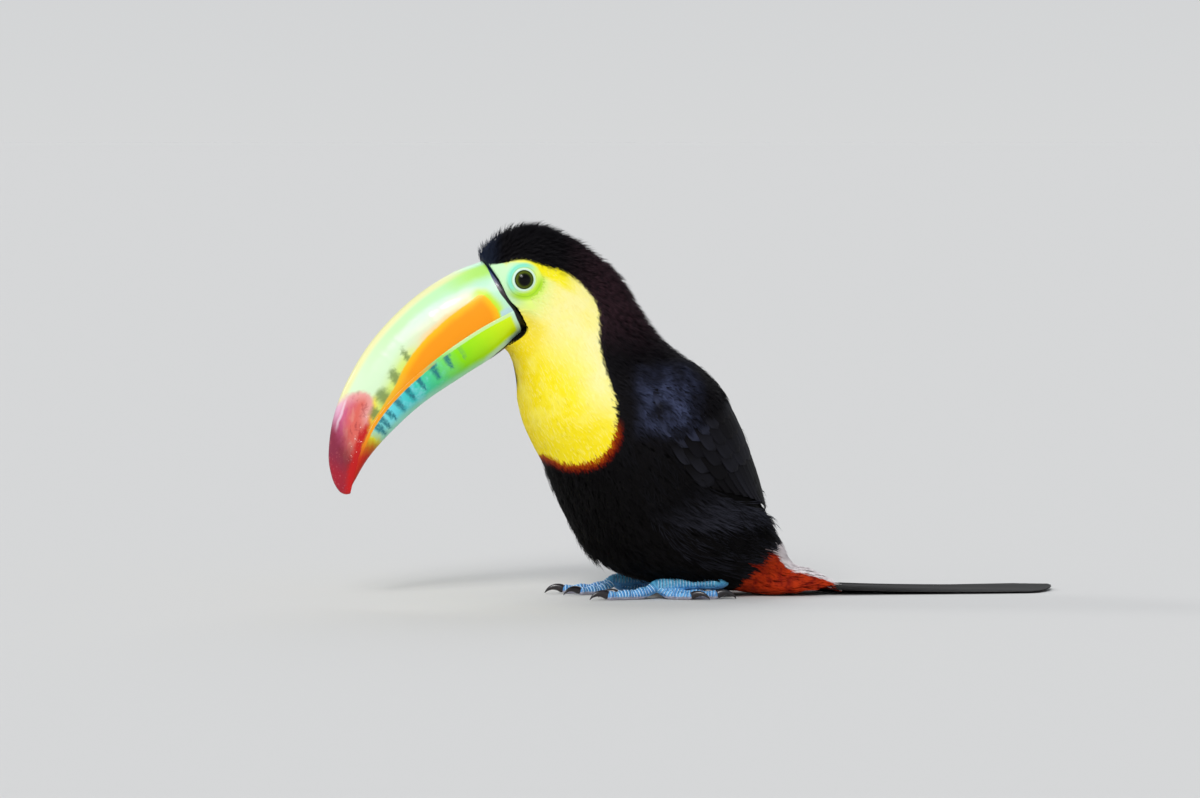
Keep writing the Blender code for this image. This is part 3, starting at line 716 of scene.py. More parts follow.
def region_coats(material):
    """All small feathers, region by region. A region is a test of at, angle and their marks, and a measure
    is a number or a function of the same three."""
    made = []
    rng = np.random.default_rng(7)
    spare = 1.0

    def left(angle):
        return np.mod(angle, TAU) < math.pi

    def on_side(wanted, side):
        return lambda at, angle, mark: wanted(at, angle, mark) & (left(angle) == (side > 0))

    def beside_bill(mark):
        bare = (mark["bill_way"] < 8) & (mark["up"] > 145) & (mark["up"] < 168.5)
        return (root_way(mark) > -0.3) & (mark["band"] < 0.3) & ~bare & (mark["eye_way"] > 9.0)

    def seam(angle, mark):
        return mark["up"] + 4 * np.sin(9 * angle + 3 * np.sin(17 * angle))

    def face(at, angle, mark):
        return (mark["bib"] > -0.5) & beside_bill(mark) & (seam(angle, mark) > 111) & (at < 9)

    def bib(at, angle, mark):
        return (mark["bib"] > -0.8) & beside_bill(mark) & (seam(angle, mark) <= 112.5) & (at < 12)

    def cap(at, angle, mark):
        return (mark["bib"] < 0.4) & (mark["bill_way"] > -0.6) & (at < 5.4) & (mark["up"] > 140)

    def crest(at, angle, mark):
        return cap(at, angle, mark) & (np.cos(angle) < -0.45)

    def nape(at, angle, mark):
        return (mark["bib"] < 0.4) & (at >= 5.0) & (at < 8.6) & (np.cos(angle) < 0.5)

    def body(at, angle, mark):
        return (mark["bib"] < 0.2) & (at >= 7.6) & (mark["vent"] < 1.5)

    def front(at, angle, mark):
        return body(at, angle, mark) & (np.cos(angle) > 0.25) & (at < 14.5)

    def flank(at, angle, mark):
        share, _ = wing_share(at, angle)
        clear = (share < 0.03) | (share > 0.97)
        return body(at, angle, mark) & (np.cos(angle) <= 0.3) & clear & (at < 14.8)

    def below_wing(at, angle, mark):
        share, _ = wing_share(at, angle)
        return (share > -0.55) & (share < 0.0) & (at > 11.1) & (at < 13.5)

    def shoulder(at, angle, mark):
        share, _ = wing_share(at, angle)
        return (share > -0.1) & (share < 1.1) & (at > 7.9) & (at < 9.9)

    def vent(at, angle, mark):
        return (mark["vent"] > -1.0) | (at > 14.3)

    def belly(at, angle, mark):
        return (np.cos(angle) > 0.72) & (at > 11.1) & (at < 12.0)

    def thigh(at, angle, mark):
        beside = (np.cos(angle) > 0.25) & (np.cos(angle) < 0.85)
        return beside & (at > 13.9) & (at < 15.0) & (mark["vent"] < 0)

    def rump_side(at, angle, mark):
        turned = turned_from_belly(angle)
        clear = wing_share(at, angle)[0] < 0
        return (turned > 95) & (turned < 150) & (at > 12.6) & (at < 14.0) & clear

    def lay(name, wanted, spacing, length, width, turn, tip_height, rows, tuft=0.0, tuft_rise=0.0,
            uneven=0.12, stray=0.13, thin=1.0, gloss=0.0, **more):
        at, angle = scatter(rng, wanted, spacing * spare, rows)
        if thin < 1:
            kept = rng.random(len(at)) < thin
            at, angle = at[kept], angle[kept]
        count = len(at)
        mark = markings(rib_point(at, angle))

        def value(given):
            given = given(at, angle, mark) if callable(given) else given
            return np.broadcast_to(np.asarray(given, float), count)

        jitter = rng.normal(0, 1, (3, count))
        lengths = value(length) * (1 + 0.16 * jitter[1])
        chance, gathering = rng.random(count), 0
        height = value(tip_height) + uneven * jitter[2]
        if tuft:
            tuft_chance, gathering = gather(rng, at, angle, tuft, lengths)
            chance = 0.45 * chance + 0.55 * tuft_chance
            height = height + value(tuft_rise) * (tuft_chance - 0.5) * 2
        heading = np.where(left(angle), 1, -1) * value(turn) + jitter[0] * stray + gathering
        made.append(lay_vanes(name, material, rng, at, angle, lengths, value(width), heading, height, chance,
                              value(gloss), **more))

    def grows(start, gain, low, high):
        """A measure that is start at rib low and gain more at rib high."""
        return lambda at, angle, mark: start + gain * ease(at, low, high)

    def crowned(start, gain):
        """A measure that is start on the head's sides and gain more on its crown."""
        return lambda at, angle, mark: start + gain * ease(-np.cos(angle), 0.35, 0.9)

    def face_length(at, angle, mark):
        return 2.2 + 2.8 * ease(np.minimum(mark["eye_way"] - 9, mark["bill_way"] + 2), 0, 20)

    def bib_height(at, angle, mark):
        return -0.21 + 0.12 * ease(mark["up"], 84, 72)

    def sweep(at, angle, mark):
        return 0.02 + 0.5 * ease(at, 10.8, 12.8) * ease(-np.cos(angle), -0.45, 0.1)

    for side_name, side in SIDES:
        lay(f"face_plumage_{side_name}", on_side(face, side), 0.72, face_length, 0.84, 0.0, -0.19,
            rows=(0.02, 9), thick=0.02, relief=0.3, lift=0.02, uneven=0.012, stray=0.11, root=0.05, bow=0.35)
        lay(f"bib_plumage_{side_name}", on_side(bib, side), 0.81, 5.0, 0.9, 0.0, bib_height, rows=(1, 12),
            thick=0.025, relief=0.32, lift=0.025, uneven=0.014, stray=0.11, root=0.06, bow=0.36)
        lay(f"flank_plumage_{side_name}", on_side(flank, side), 1.25, grows(7.5, 2.5, 10, 13), 1.2, sweep,
            -0.2, rows=(7.4, 15), thick=0.15, tuft=4.5, tuft_rise=grows(0.35, 0.55, 10.5, 13), lift=0.5)
        # The flank's wisps carry a painted sheen, stronger towards the back.
        lay(f"flank_wisps_{side_name}", on_side(flank, side), 1.9, grows(8.0, 5.5, 10, 13), 0.34, sweep, 0.6,
            rows=(7.4, 15), thick=0.1, tuft=4.5, tuft_rise=0.8, lift=1.1, gloss=grows(0.12, 0.3, 10.8, 12.0))
    for side_name, side in SIDES:
        # The plumes below the wing carry a painted sheen, stronger towards the back.
        lay(f"flank_plumes_{side_name}", on_side(below_wing, side), 0.95, grows(9.0, 5.0, 11.3, 12.8), 0.42,
            grows(0.38, 0.3, 11.2, 12.6), grows(1.1, 0.9, 11.4, 12.6), rows=(11, 13.6), tuft=3.8,
            tuft_rise=1.4, lift=2.2, relief=0.7, gloss=grows(0, 0.8, 11.0, 12.5))
        lay(f"shoulder_plumage_{side_name}", on_side(shoulder, side), 1.15, 6.5, 1.0, 0.1,
            grows(-0.2, 0.9, 8.0, 8.6), rows=(7.8, 10), tuft=3.4, tuft_rise=0.35, lift=0.5)
    lay("cap_plumage", cap, 0.80, grows(3.6, 2.2, 0, 2.5), 0.52, 0.0, crowned(-0.35, -0.35), rows=(0.1, 5.6),
        bow=1.0, thick=0.16, tuft=2.2, tuft_rise=crowned(0.25, 0.6), lift=0.5, relief=0.6)
    lay("crest_tufts", crest, 0.95, grows(3.4, 1.6, 0, 2), 0.42, 0.0, grows(0.7, 0.7, 3.2, 1.0),
        rows=(0.1, 5.4), bow=1.0, thick=0.14, tuft=1.7, tuft_rise=1.5, uneven=0.3, lift=1.2, relief=0.7,
        thin=0.6)
    lay("nape_plumage", nape, 0.98, 6.8, 0.68, 0.0, crowned(-0.3, 0.8), rows=(4.9, 8.7), bow=1.0, thick=0.16,
        tuft=2.6, tuft_rise=crowned(0.3, 1.3), lift=0.7, relief=0.6)
    lay("breast_plumage", front, 1.22, 7.0, 1.2, 0.0, -0.2, rows=(7.4, 15), thick=0.15, tuft=4.0,
        tuft_rise=grows(0.3, 0.4, 10, 13), lift=0.4)
    lay("breast_wisps", front, 1.9, 8.0, 0.38, 0.1, 0.3, rows=(7.4, 15), thick=0.11, tuft=4.0, tuft_rise=0.6,
        lift=0.7)
    lay("vent_plumage", vent, 1.2, 8.5, 1.4, 0.0, -0.15, rows=(12, 17.6), thick=0.16, tuft=3.5,
        tuft_rise=0.35, lift=0.5)
    lay("belly_tufts", belly, 1.3, 13.0, 0.6, 0.0, 2.6, rows=(10.9, 12.2), tuft=3.5, tuft_rise=1.2, thin=0.7,
        lift=1.2, bow=1.0)
    lay("thigh_tufts", thigh, 1.35, 9.0, 0.8, -0.25, 1.0, rows=(13, 15.1), tuft=4.5, tuft_rise=0.8, lift=0.8)
    lay("rump_wisps", rump_side, 1.6, 12.0, 0.35, -0.2, 3.2, rows=(12.5, 14), tuft=3.0, tuft_rise=2.2,
        thin=0.4, lift=2.5)
    return made


# ---- large feathers of wing and tail ----


def camber_sheet(spines, sides, normals, half_widths, shafts, thick, marks):
    """Large feathers as closed leaves: their rings of points, faces and attributes. spines is feathers by
    stations by 3, and half_widths feathers by stations."""
    count, stations = spines.shape[:2]
    across = np.array([-1.0, -0.92, -0.5, -0.06, 0.0, 0.06, 0.5, 0.92, 1.0])
    ridge = np.exp(-((across / 0.05) ** 2))
    lay = spines[:, :, None] + sides[:, :, None] * (half_widths[:, :, None] * across)[..., None]
    camber = half_widths[:, :, None] ** 2 / 70 * -(across**2)
    top = lay + normals[:, :, None] * (camber + shafts[:, :, None] * ridge)[..., None]
    wall = thick * (1 - 0.5 * np.abs(across) ** 4)
    bottom = lay + normals[:, :, None] * (camber - wall)[..., None]
    rings = np.concatenate([top, bottom[:, :, ::-1]], axis=2)
    around = rings.shape[2]
    attributes = {key: np.repeat(value, stations * around) for key, value in marks.items()}
    attributes["tip"] = np.tile(np.repeat(np.linspace(0, 1, stations), around), count)
    attributes["vane"] = np.tile(np.concatenate([across, across[::-1]]), count * stations)
    return rings, closed_faces(stations, around, count), attributes


def feather_width(share, blunt):
    """The outline of a large feather: its half width's share at each share of its length."""
    end = np.clip((share - blunt) / (1 - blunt), 0, 1)
    return np.clip(ease(share, -0.12, 0.2), 0, 1) * np.sqrt(np.clip(1 - end**2.2, 0, 1))


def wing_feathers(side_name, side, material):
    """Coverts in rows like scales, and the long flight feathers below and behind them."""
    rng = np.random.default_rng(21)
    # Each feather's start along and across the wing, its end along and across it, its half width, its height
    # and how blunt it is.
    rows = []
    for i in range(11):
        share = i / 10
        rows.append((0.30 + 0.05 * share, 0.12 + 0.74 * share, 0.60 + 0.40 * share**0.8,
                     0.015 + 0.62 * share, 3.6 + 0.5 * share, -0.55 + 0.05 * i, 0.8))
    for row in range(2, 9):
        start, reach = 0.012 + 0.052 * row, 0.085 + 0.012 * row
        count = 6 + min(row, 3) - max(0, row - 5)
        for i in range(count):
            share = (i + 0.5 * (row % 2) + 0.4) / (count + 0.35)
            rows.append((start + rng.normal(0, 0.003), share, start + reach, share * 0.985, 3.2 + 0.28 * row,
                         0.05 + 0.045 * (8 - row) + 0.03 * share, 0.62))
    rows = np.array(rows)
    stations = 9
    shares = np.linspace(0, 1, stations)
    along = rows[:, 0, None] + (rows[:, 2] - rows[:, 0])[:, None] * shares
    bend = shares + 0.25 * shares * (shares - 1)
    cross = rows[:, 1, None] + (rows[:, 3] - rows[:, 1])[:, None] * bend
    table = np.array([WING_STATIONS, WING_LOW_EDGE, WING_HIGH_EDGE]).T
    at, low, high = np.moveaxis(smooth_between(table, np.clip(along, 0, 1) * (len(table) - 1)), -1, 0)
    angle = np.radians(low + (high - low) * np.clip(cross, 0.0, 1.0))
    place, _, _, normal = body_frame(at, angle)
    height = np.maximum(wing_height(at, angle), 0.4) - 0.55
    height = height + rows[:, 5, None] * 0.9 - 0.8 * (1 - shares) ** 2
    spine = place + normal * height[..., None]
    forward = unit(np.gradient(spine, axis=1))
    sides = unit(np.cross(normal, forward))
    half = rows[:, 4, None] * feather_width(shares[None], rows[:, 6, None]) + 0.12
    shaft = np.full(half.shape, 0.12) * (1 - shares)
    mark = markings(spine[:, stations // 2])
    mark |= {"rump": np.full(len(rows), -9.0), "chance": rng.random(len(rows))}
    rings, faces, attributes = camber_sheet(spine, sides, normal, half, shaft, 0.3, mark)
    rings[..., 0] *= side
    attributes["bib"] = np.full(len(attributes["tip"]), -30.0)
    # Painted sheen: the wing's upper feathers lighter, and more so at their vanes' edges.
    high = ease(attributes["up"], 40, 75)
    attributes["gloss"] = high * (0.22 + 0.12 * ease(np.abs(attributes["vane"]), 0.6, 1.0))
    centre = np.repeat(bake_place(at[:, 0], side * angle[:, 0]), rings[0].size // 3, axis=0)
    spread = np.stack([attributes["tip"], attributes["vane"] / 2 + 0.5], axis=-1) - 0.5
    made = mesh_object(f"wing_feathers_{side_name}", rings, faces, material, attributes,
                       {"OFBake": centre + spread * BAKE_PATCH})
    return keep_outward(made)


def tail_feathers(material):
    """Ten long feathers laid flat on the floor, the middle pair on top."""
    rng = np.random.default_rng(5)
    count, stations = TAIL_FEATHERS, 26
    outermost = (count - 1) / 2
    number = np.arange(count) - outermost
    shares = 1 - (1 - np.linspace(0, 1, stations)) ** 1.9
    length = TAIL_LENGTH - 0.42 * np.abs(number) ** 2
    y = TAIL_ROOT + length[:, None] * shares
    x = number[:, None] * (2.0 + 1.35 * ease(shares, 0.1, 1.0))
    lift = (outermost - np.abs(number))[:, None] * (0.62 - 0.22 * shares) + 0.55
    z = lift + 3.2 * (1 - shares) ** 3
    spine = np.stack([x, y, z], axis=-1)
    forward = unit(np.gradient(spine, axis=1))
    normal = unit(np.cross(forward, np.broadcast_to(np.array([-1.0, 0, 0]), forward.shape)))
    tilt = -0.035 * number[:, None, None]
    side = unit(np.cross(normal, forward))
    normal = unit(normal + side * -tilt)
    side = unit(np.cross(normal, forward))
    half = 8.9 * feather_width(shares[None], 0.93) * (0.80 + 0.20 * shares) + 0.1
    half = np.broadcast_to(half, (count, stations))
    shaft = np.broadcast_to(0.35 * (1 - 0.8 * shares), (count, stations))
    mark = markings(spine[:, 8])
    mark |= {"rump": np.full(count, -9.0), "chance": rng.random(count), "vent": np.full(count, -20.0)}
    rings, faces, attributes = camber_sheet(spine, side, normal, half, shaft, 0.34, mark)
    rings[..., 2] = np.maximum(rings[..., 2], 0.0)
    strip = np.repeat(np.arange(count), rings[0].size // 3)
    across = (strip + 0.5 + 0.4 * attributes["vane"]) / count
    patch = np.stack([BAKE_MARGIN + 0.94 * attributes["tip"], across], axis=-1)
    made = mesh_object("tail_feathers", rings, faces, material, attributes, {"OFBake": patch})
    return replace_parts(keep_outward(made), "tail")


# ---- the bill ----


def mouth_way(points):
    """How far along the mouth line a place lies, and how far above it, in millimetres of the side view."""
    line = along_curve(TOMIUM, np.linspace(0, 1, 161))
    length = np.concatenate([[0], np.cumsum(np.linalg.norm(np.diff(line, axis=0), axis=1))])
    flat = points.reshape(-1, 3)[:, 1:]
    gap = flat[:, None] - line[None]
    nearest = np.argmin((gap**2).sum(-1), axis=1)
    heading = unit(np.gradient(line, axis=0))[nearest]
    away = gap[np.arange(len(flat)), nearest]
    above = heading[:, 1] * away[:, 0] - heading[:, 0] * away[:, 1]
    return length[nearest], above


def tooth_cut(along):
    """The small notches in the mouth's edge: how deep at each place along it."""
    depth = np.zeros_like(along)
    for i, place in enumerate(TOOTH_PLACES):
        reach = 0.8 + 0.35 * math.sin(2.3 * i)
        depth += (0.35 + 0.22 * math.sin(1.7 * i + 1)) * np.exp(-(((along - place) / reach) ** 2))
    return depth


def mandible(name, near, far, widths, profile, teeth, root_bow, heights_count, material):
    """Half the bill between two edges in the side view, as the solids have it, with a toothed mouth edge.
    root_bow is how far its root's edge bulges back, along and up."""
    heights = np.linspace(0, 1, heights_count) ** 1.15
    share = profile(heights)
    length = np.concatenate([[0], np.cumsum(np.linalg.norm(np.diff(near, axis=0), axis=1))])
    down = unit(far - near)
    near = near + down * (tooth_cut(length) * teeth)[:, None]
    place = near[:, None] + (far - near)[:, None] * heights[None, :, None]
    near_root = np.clip(1 - length / 9, 0, 1)[:, None] ** 1.5
    place = place + (near_root * np.sin(np.pi * heights) ** 0.8)[..., None] * root_bow
    across = widths[:, None] * share[None]
    rim = 0.28 * np.exp(-((length / 1.6) ** 2))[:, None]
    across = across + rim * (share[None] > 0.05)
    left = np.concatenate([across[..., None], place], axis=-1)
    right = left[:, -2::-1] * (-1, 1, 1)
    rings = np.concatenate([left, right], axis=1)
    along, above = mouth_way(rings)
    view, up = view_plane(rings)
    from_far = np.concatenate([1 - heights, 1 - heights[-2::-1]])
    attributes = {
        "along": along,
        "above": np.abs(above),
        "far_edge": from_far * np.linalg.norm(far - near, axis=1)[:, None],
        "orange": inside_by(ORANGE_OUTLINE, view, up),
        "point": inside_by(TIP_OUTLINE, view, up),
        "horn": inside_by(BAND_OUTLINE, view, up),
        "up": up,
    }
    return ringed(name, rings, material, attributes)


def tooth_marks(f, along, above, places, slant, width, reach_from, reach_to):
    """Bars that start at the mouth's notches, as one mask: their places along it, how they slant, their width
    and how far above the mouth they reach."""
    total = None
    wobble = f.noise(2.6, 3)
    ragged = f.noise(1.6, 2) * above * 0.35
    for i, place in enumerate(places):
        lean = along + above * slant - place + wobble * 1.6 + ragged
        bar = f.ease(abs(lean) + above * 0.14, width * (0.9 + 0.2 * (i % 3)), width * 0.35)
        total = bar if total is None else f.larger(total, bar)
    lower_end = f.ease(above, reach_from - 0.5, reach_from + 0.4)
    return total * f.ease(above + wobble * 2.5, reach_to, reach_to - 2.2) * lower_end


def bill_gloss(f, colour, relief):
    """The horn's sheen and slight relief."""
    f.set(Base_Color=colour, Roughness=0.42, Specular_IOR_Level=0.15, Coat_Weight=0.35, Coat_Roughness=0.12)
    f.bump(relief, 0.10, 0.7)
    return f.material


def band_over(f, horn, up, wave, colour):
    """The black band's front part, which lies on the bill."""
    return f.mix(f.ease(horn + wave * 0.5, 0.22, -0.22), colour, band_black_and_painted_sheen(f, up))


def upper_finish():
    f = Finish("upper mandible horn")
    along, above, top, orange, point, horn, up = (
        f.attribute(key) for key in ("along", "above", "far_edge", "orange", "point", "horn", "up"))
    wave, fine = f.noise(7, 3), f.noise(1.4, 3)
    colour = f.mix(f.ease(along, 15, 70), (0.52, 0.82, 0.58), (0.68, 0.88, 0.58))
    green = f.ease(top + wave * 3, 10.5, 5) * f.ease(along, 36, 8) * f.ease(top, 0.6, 2.4)
    colour = f.mix(green * 0.9, colour, (0.44, 0.80, 0.11))
    green = f.ease(top + wave * 3, 8.5, 5) * f.ease(top, 1.4, 3.4)
    green = green * f.ease(along, 20, 34) * f.ease(along, 84, 50)
    colour = f.mix(green * 0.5, colour, (0.48, 0.82, 0.30))
    colour = f.mix(f.ease(top, 3.6, 1.4) * f.ease(along, 6, 24) * 0.85, colour, (0.84, 0.78, 0.36))
    peach = f.ease(orange + wave * 3, -9.5, -1.5) * f.ease(along, 10, 20)
    peach = peach * f.ease(along, 66, 40) * f.ease(above, 7, 13)
    colour = f.mix(peach * 0.8, colour, (0.84, 0.74, 0.48))
    near = f.ease(orange + wave * 2, -3.0, -0.6) * f.ease(along, 12, 24) * f.ease(along, 56, 40)
    colour = f.mix(near * 0.7, colour, (0.94, 0.62, 0.22))
    halo = f.ease(orange + wave * 1.8, -5.0, -0.6) * f.ease(along, 44, 58)
    colour = f.mix(halo * 0.75, colour, (0.74, 0.80, 0.10))
    rear = f.ease(orange + wave * 1.5, -4.6, -0.8) * f.ease(along, 19, 12)
    colour = f.mix(rear * 0.95, colour, (0.56, 0.82, 0.004))
    gape_blue = f.ease(along, 13, 9) * f.ease(above, 4.4, 2.4) * f.ease(orange, -0.3, -1.6)
    colour = f.mix(gape_blue * 0.95, colour, (0.50, 0.72, 0.76))
    smudge = f.ease(orange + wave * 2, -8.5, -2) * f.ease(along, 50, 62) * f.ease(along, 100, 90)
    colour = f.mix(smudge * 0.55, colour, (0.66, 0.84, 0.12))
    fringe = f.ease(point + wave * 2, -4.0, -0.8) * f.ease(above + wave * 2, 10, 6.5)
    amber = f.mix(f.ease(along + wave * 5, 80, 88), (0.90, 0.80, 0.03), (0.90, 0.40, 0.01))
    colour = f.mix(fringe * 0.85, colour, amber)
    teeth = tooth_marks(f, along, above, UPPER_BARS, 0.0, 4.7, 0.0, 40.0)
    teeth = teeth * f.ease(orange, 1.2, -0.6) * f.ease(orange + wave * 4, -7.6, -4.4)
    colour = f.mix(teeth * 0.85, colour, (0.17, 0.25, 0.07))
    flame = f.mix(f.ease(orange + wave * 1.5, 0.4, 4.4), (0.97, 0.50, 0.0), (0.97, 0.32, 0.0))
    flame = f.mix(f.ease(along, 52, 84) * f.ease(wave, -0.2, 0.3), flame, (0.90, 0.46, 0.03))
    colour = f.mix(f.ease(orange + wave * 0.9 + fine * 0.5, -0.6, 0.5), colour, flame)
    lip = f.ease(above + fine * 0.3, 0.75, 0.45) * f.ease(along, 1, 4)
    colour = f.mix(lip * f.ease(along, 46, 34) * 0.85, colour, (0.74, 0.68, 0.62))
    # The peach line along the mouth's edge towards the tip: partly the seam's own colour, partly a painted
    # highlight.
    colour = f.mix(lip * f.ease(along, 50, 62) * f.ease(along, 104, 92) * 0.7, colour, (0.95, 0.66, 0.36))
    blood = f.mix(f.ease(top + wave * 6, 3.5, 9.5), (0.58, 0.10, 0.22), (0.72, 0.13, 0.10))
    pale = f.ease(point + wave * 4, 6.0, 0.5) * f.ease(along, 98, 90)
    blood = f.mix(pale * 0.7, blood, (0.86, 0.44, 0.40))
    mottle = f.noise(3.2, 4, (1, 1, 0.35))
    blood = f.mix(f.ease(mottle, 0.0, 0.2) * f.ease(top, 3, 6) * 0.55, blood, (0.74, 0.28, 0.22))
    blood = f.mix(f.ease(mottle + fine * 0.5, -0.04, -0.26) * 0.55, blood, (0.36, 0.03, 0.04))
    blood = f.mix(f.ease(along - top * 0.9 + wave * 10, 89, 104) * 0.85, blood, (0.17, 0.004, 0.018))
    blood = f.mix(f.ease(along + wave * 8, 110, 121) * 0.7, blood, (0.42, 0.006, 0.018))
    flecks = f.ease(fine + wave * 0.4, 0.1, 0.28) * f.ease(along, 96, 106)
    blood = f.mix(flecks * 0.4, blood, (0.60, 0.13, 0.15))
    red_lip = f.ease(above + wave * 5 + fine * 2, 5.0, 2.0) * f.ease(along + wave * 6, 84, 93)
    blood = f.mix(red_lip * 0.95, blood, (0.56, 0.004, 0.004))
    specks = f.ease(f.noise(0.9, 2), 0.17, 0.25) * f.ease(along, 94, 108)
    blood = f.mix(specks * 0.6, blood, (0.12, 0.004, 0.012))
    # Pale lilac along the culmen's side near the tip: partly the horn's own mauve, partly a painted
    # highlight.
    lilac = f.ease(top + wave * 2, 3.4, 0.8) * f.ease(along, 103, 92)
    blood = f.mix(lilac * 0.75, blood, (0.78, 0.48, 0.64))
    # Painted highlight: a pale streak along the side of the tip, where light glints on the horn.
    painted_shine = f.ease(abs(top - 3.0 + (along - 86) * 0.05 + wave * 2.5), 1.0, 0.0)
    painted_shine = painted_shine * f.ease(along + wave * 6, 85, 91) * f.ease(along, 103, 96)
    blood = f.mix(painted_shine * 0.5, blood, (0.93, 0.84, 0.92))
    chips = f.ease(f.noise(1.1, 1), 0.20, 0.25) * f.ease(above, 8.0, 4.5)
    chips = chips * f.ease(along, 86, 92) * f.ease(along, 116, 108)
    blood = f.mix(chips * 0.85, blood, (0.90, 0.62, 0.58))
    mask = f.larger(f.ease(point + wave * 3.6 + fine * 1.6, -1.8, 1.4), f.ease(along + wave * 2, 101, 106))
    colour = f.mix(mask, colour, blood)
    return bill_gloss(f, band_over(f, horn, up, wave, colour), wave * 0.8 + f.noise(0.8, 2) * 0.25)


def lower_finish():
    f = Finish("lower mandible horn")
    along, above, edge, horn, up = (f.attribute(key) for key in ("along", "above", "far_edge", "horn", "up"))
    wave, fine = f.noise(6, 3), f.noise(1.3, 3)
    colour = f.ramp((along + wave * 6) / 130, (0.04, (0.70, 0.92, 0.0)), (0.17, (0.46, 0.88, 0.0)),
                    (0.28, (0.28, 0.82, 0.0)), (0.40, (0.08, 0.70, 0.26)), (0.51, (0.03, 0.60, 0.57)),
                    (0.62, (0.14, 0.72, 0.80)), (0.71, (0.22, 0.70, 0.66)), (0.75, (0.70, 0.66, 0.02)),
                    (0.79, (0.56, 0.14, 0.0)), (0.83, (0.56, 0.015, 0.002)))
    # Pale mint along the lower edge: partly the horn's own colour, partly painted light that lifts the
    # underside's shade.
    mint = f.ease(edge + wave * 1.6, 5.0, 1.2) * f.ease(along, 18, 30) * f.ease(along, 100, 92)
    colour = f.mix(mint * 0.75, colour, (0.40, 0.86, 0.62))
    clouds = f.ease(wave + fine * 0.25, -0.02, 0.24) * f.ease(along, 40, 56) * f.ease(along, 96, 86)
    colour = f.mix(clouds * 0.5, colour, (0.34, 0.82, 0.86))
    bars = tooth_marks(f, along, above, LOWER_BARS, -0.12, 2.7, 0.8, 9.5) * f.ease(along, 30, 42)
    colour = f.mix(bars * f.ease(fine, -0.22, 0.05, 0.55, 0.9), colour, (0.012, 0.17, 0.22))
    stripe = f.ease(above + fine * 0.5, 1.35, 0.85) * f.ease(along, 44, 60) * f.ease(along, 112, 102)
    orange = f.mix(f.ease(along, 94, 110), (0.96, 0.36, 0.005), (0.70, 0.10, 0.0))
    colour = f.mix(stripe, colour, orange)
    lip = f.ease(above + fine * 0.4, 1.4, 0.8) * f.ease(along, 48, 34) * f.ease(along, 1, 4)
    colour = f.mix(lip * 0.8, colour, (0.64, 0.86, 0.44))
    rim = f.ease(horn + wave * 0.4, 2.9, 0.9)
    colour = f.mix(rim * 0.85, colour, (0.56, 0.86, 0.80))
    return bill_gloss(f, band_over(f, horn, up, wave, colour), wave * 0.6 + fine * 0.2)


def make_bill():
    fine = 1.0
    shares = np.linspace(0, 1, int(170 * fine)) ** 0.96
    widths = np.array(BILL_WIDTH)[:, None]

    def half_width(mouth_shares):
        return smooth_between(widths, mouth_shares * (len(widths) - 1))[:, 0]

    def arch(rounding):
        rise, keel = rounding
        return lambda h: (1 - h**rise) ** (1 / keel)

    def upper_arch(h):
        return arch(KEEL)(h) * (0.94 + 0.1 * np.sqrt(h) * (1 - h))

    near, far = along_curve(TOMIUM, shares), along_curve(CULMEN, shares)
    upper = mandible("upper_mandible", near, far, half_width(shares), upper_arch, 1.0, (0.1, 0.0), 30,
                     upper_finish())
    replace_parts(upper, "bill_upper")
    near, far = along_curve(TOMIUM, shares * LOWER_TIP), along_curve(GONYS, shares)
    near = near - unit(far - near) * 0.6
    lower = mandible("lower_mandible", near, far, half_width(shares * LOWER_TIP) * 0.955, arch(CHIN_ROUND),
                     0.0, (0.2, -0.1), 24, lower_finish())
    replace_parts(lower, "bill_lower")
    return upper, lower


# ---- eyes ----


def eye_finish():
    f = Finish("eye", Roughness=0.08)
    way = f.attribute("way") + f.noise(0.8, 2) * 0.12
    streaks = f.noise(0.22, 3)
    iris = f.mix(f.ease(way + streaks * 0.8, PUPIL_RADIUS, IRIS_RADIUS - 0.4), (0.008, 0.012, 0.001),
                 (0.090, 0.125, 0.007))
    iris = f.mix(f.ease(way, IRIS_RADIUS - 0.45, IRIS_RADIUS - 0.1), iris, (0.006, 0.006, 0.003))
    colour = f.mix(f.ease(way, PUPIL_RADIUS - 0.4, PUPIL_RADIUS + 0.5), (0.0005, 0.0005, 0.0005), iris)
    return f.set(Base_Color=colour, Specular_IOR_Level=0.03, Coat_Weight=0.28, Coat_Roughness=0.0).material


def make_eyes():
    material = eye_finish()
    turn, spin = np.meshgrid(np.linspace(0.0001, math.pi, 40), np.arange(64) * TAU / 64, indexing="ij")
    bulge = EYE_RADIUS + 0.25 * np.exp(-((turn / 0.42) ** 2))
    out = FACE_X + EYE_PROUD - EYE_RADIUS + np.cos(turn) * bulge - 0.2
    y = EYE[0] + np.sin(turn) * np.cos(spin) * EYE_RADIUS
    z = EYE[1] + np.sin(turn) * np.sin(spin) * EYE_RADIUS
    way = np.hypot(y - EYE[0], z - EYE[1]) + np.where(turn > 1.57, 9, 0)
    for side_name, side in SIDES:
        rings = np.stack([side * out, y, z], axis=-1)
        eye = ringed(f"eyeball_{side_name}", rings, material, {"way": way})
        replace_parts(eye, f"eye_{side_name}")
        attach(eye, "root")


# ---- feet ----


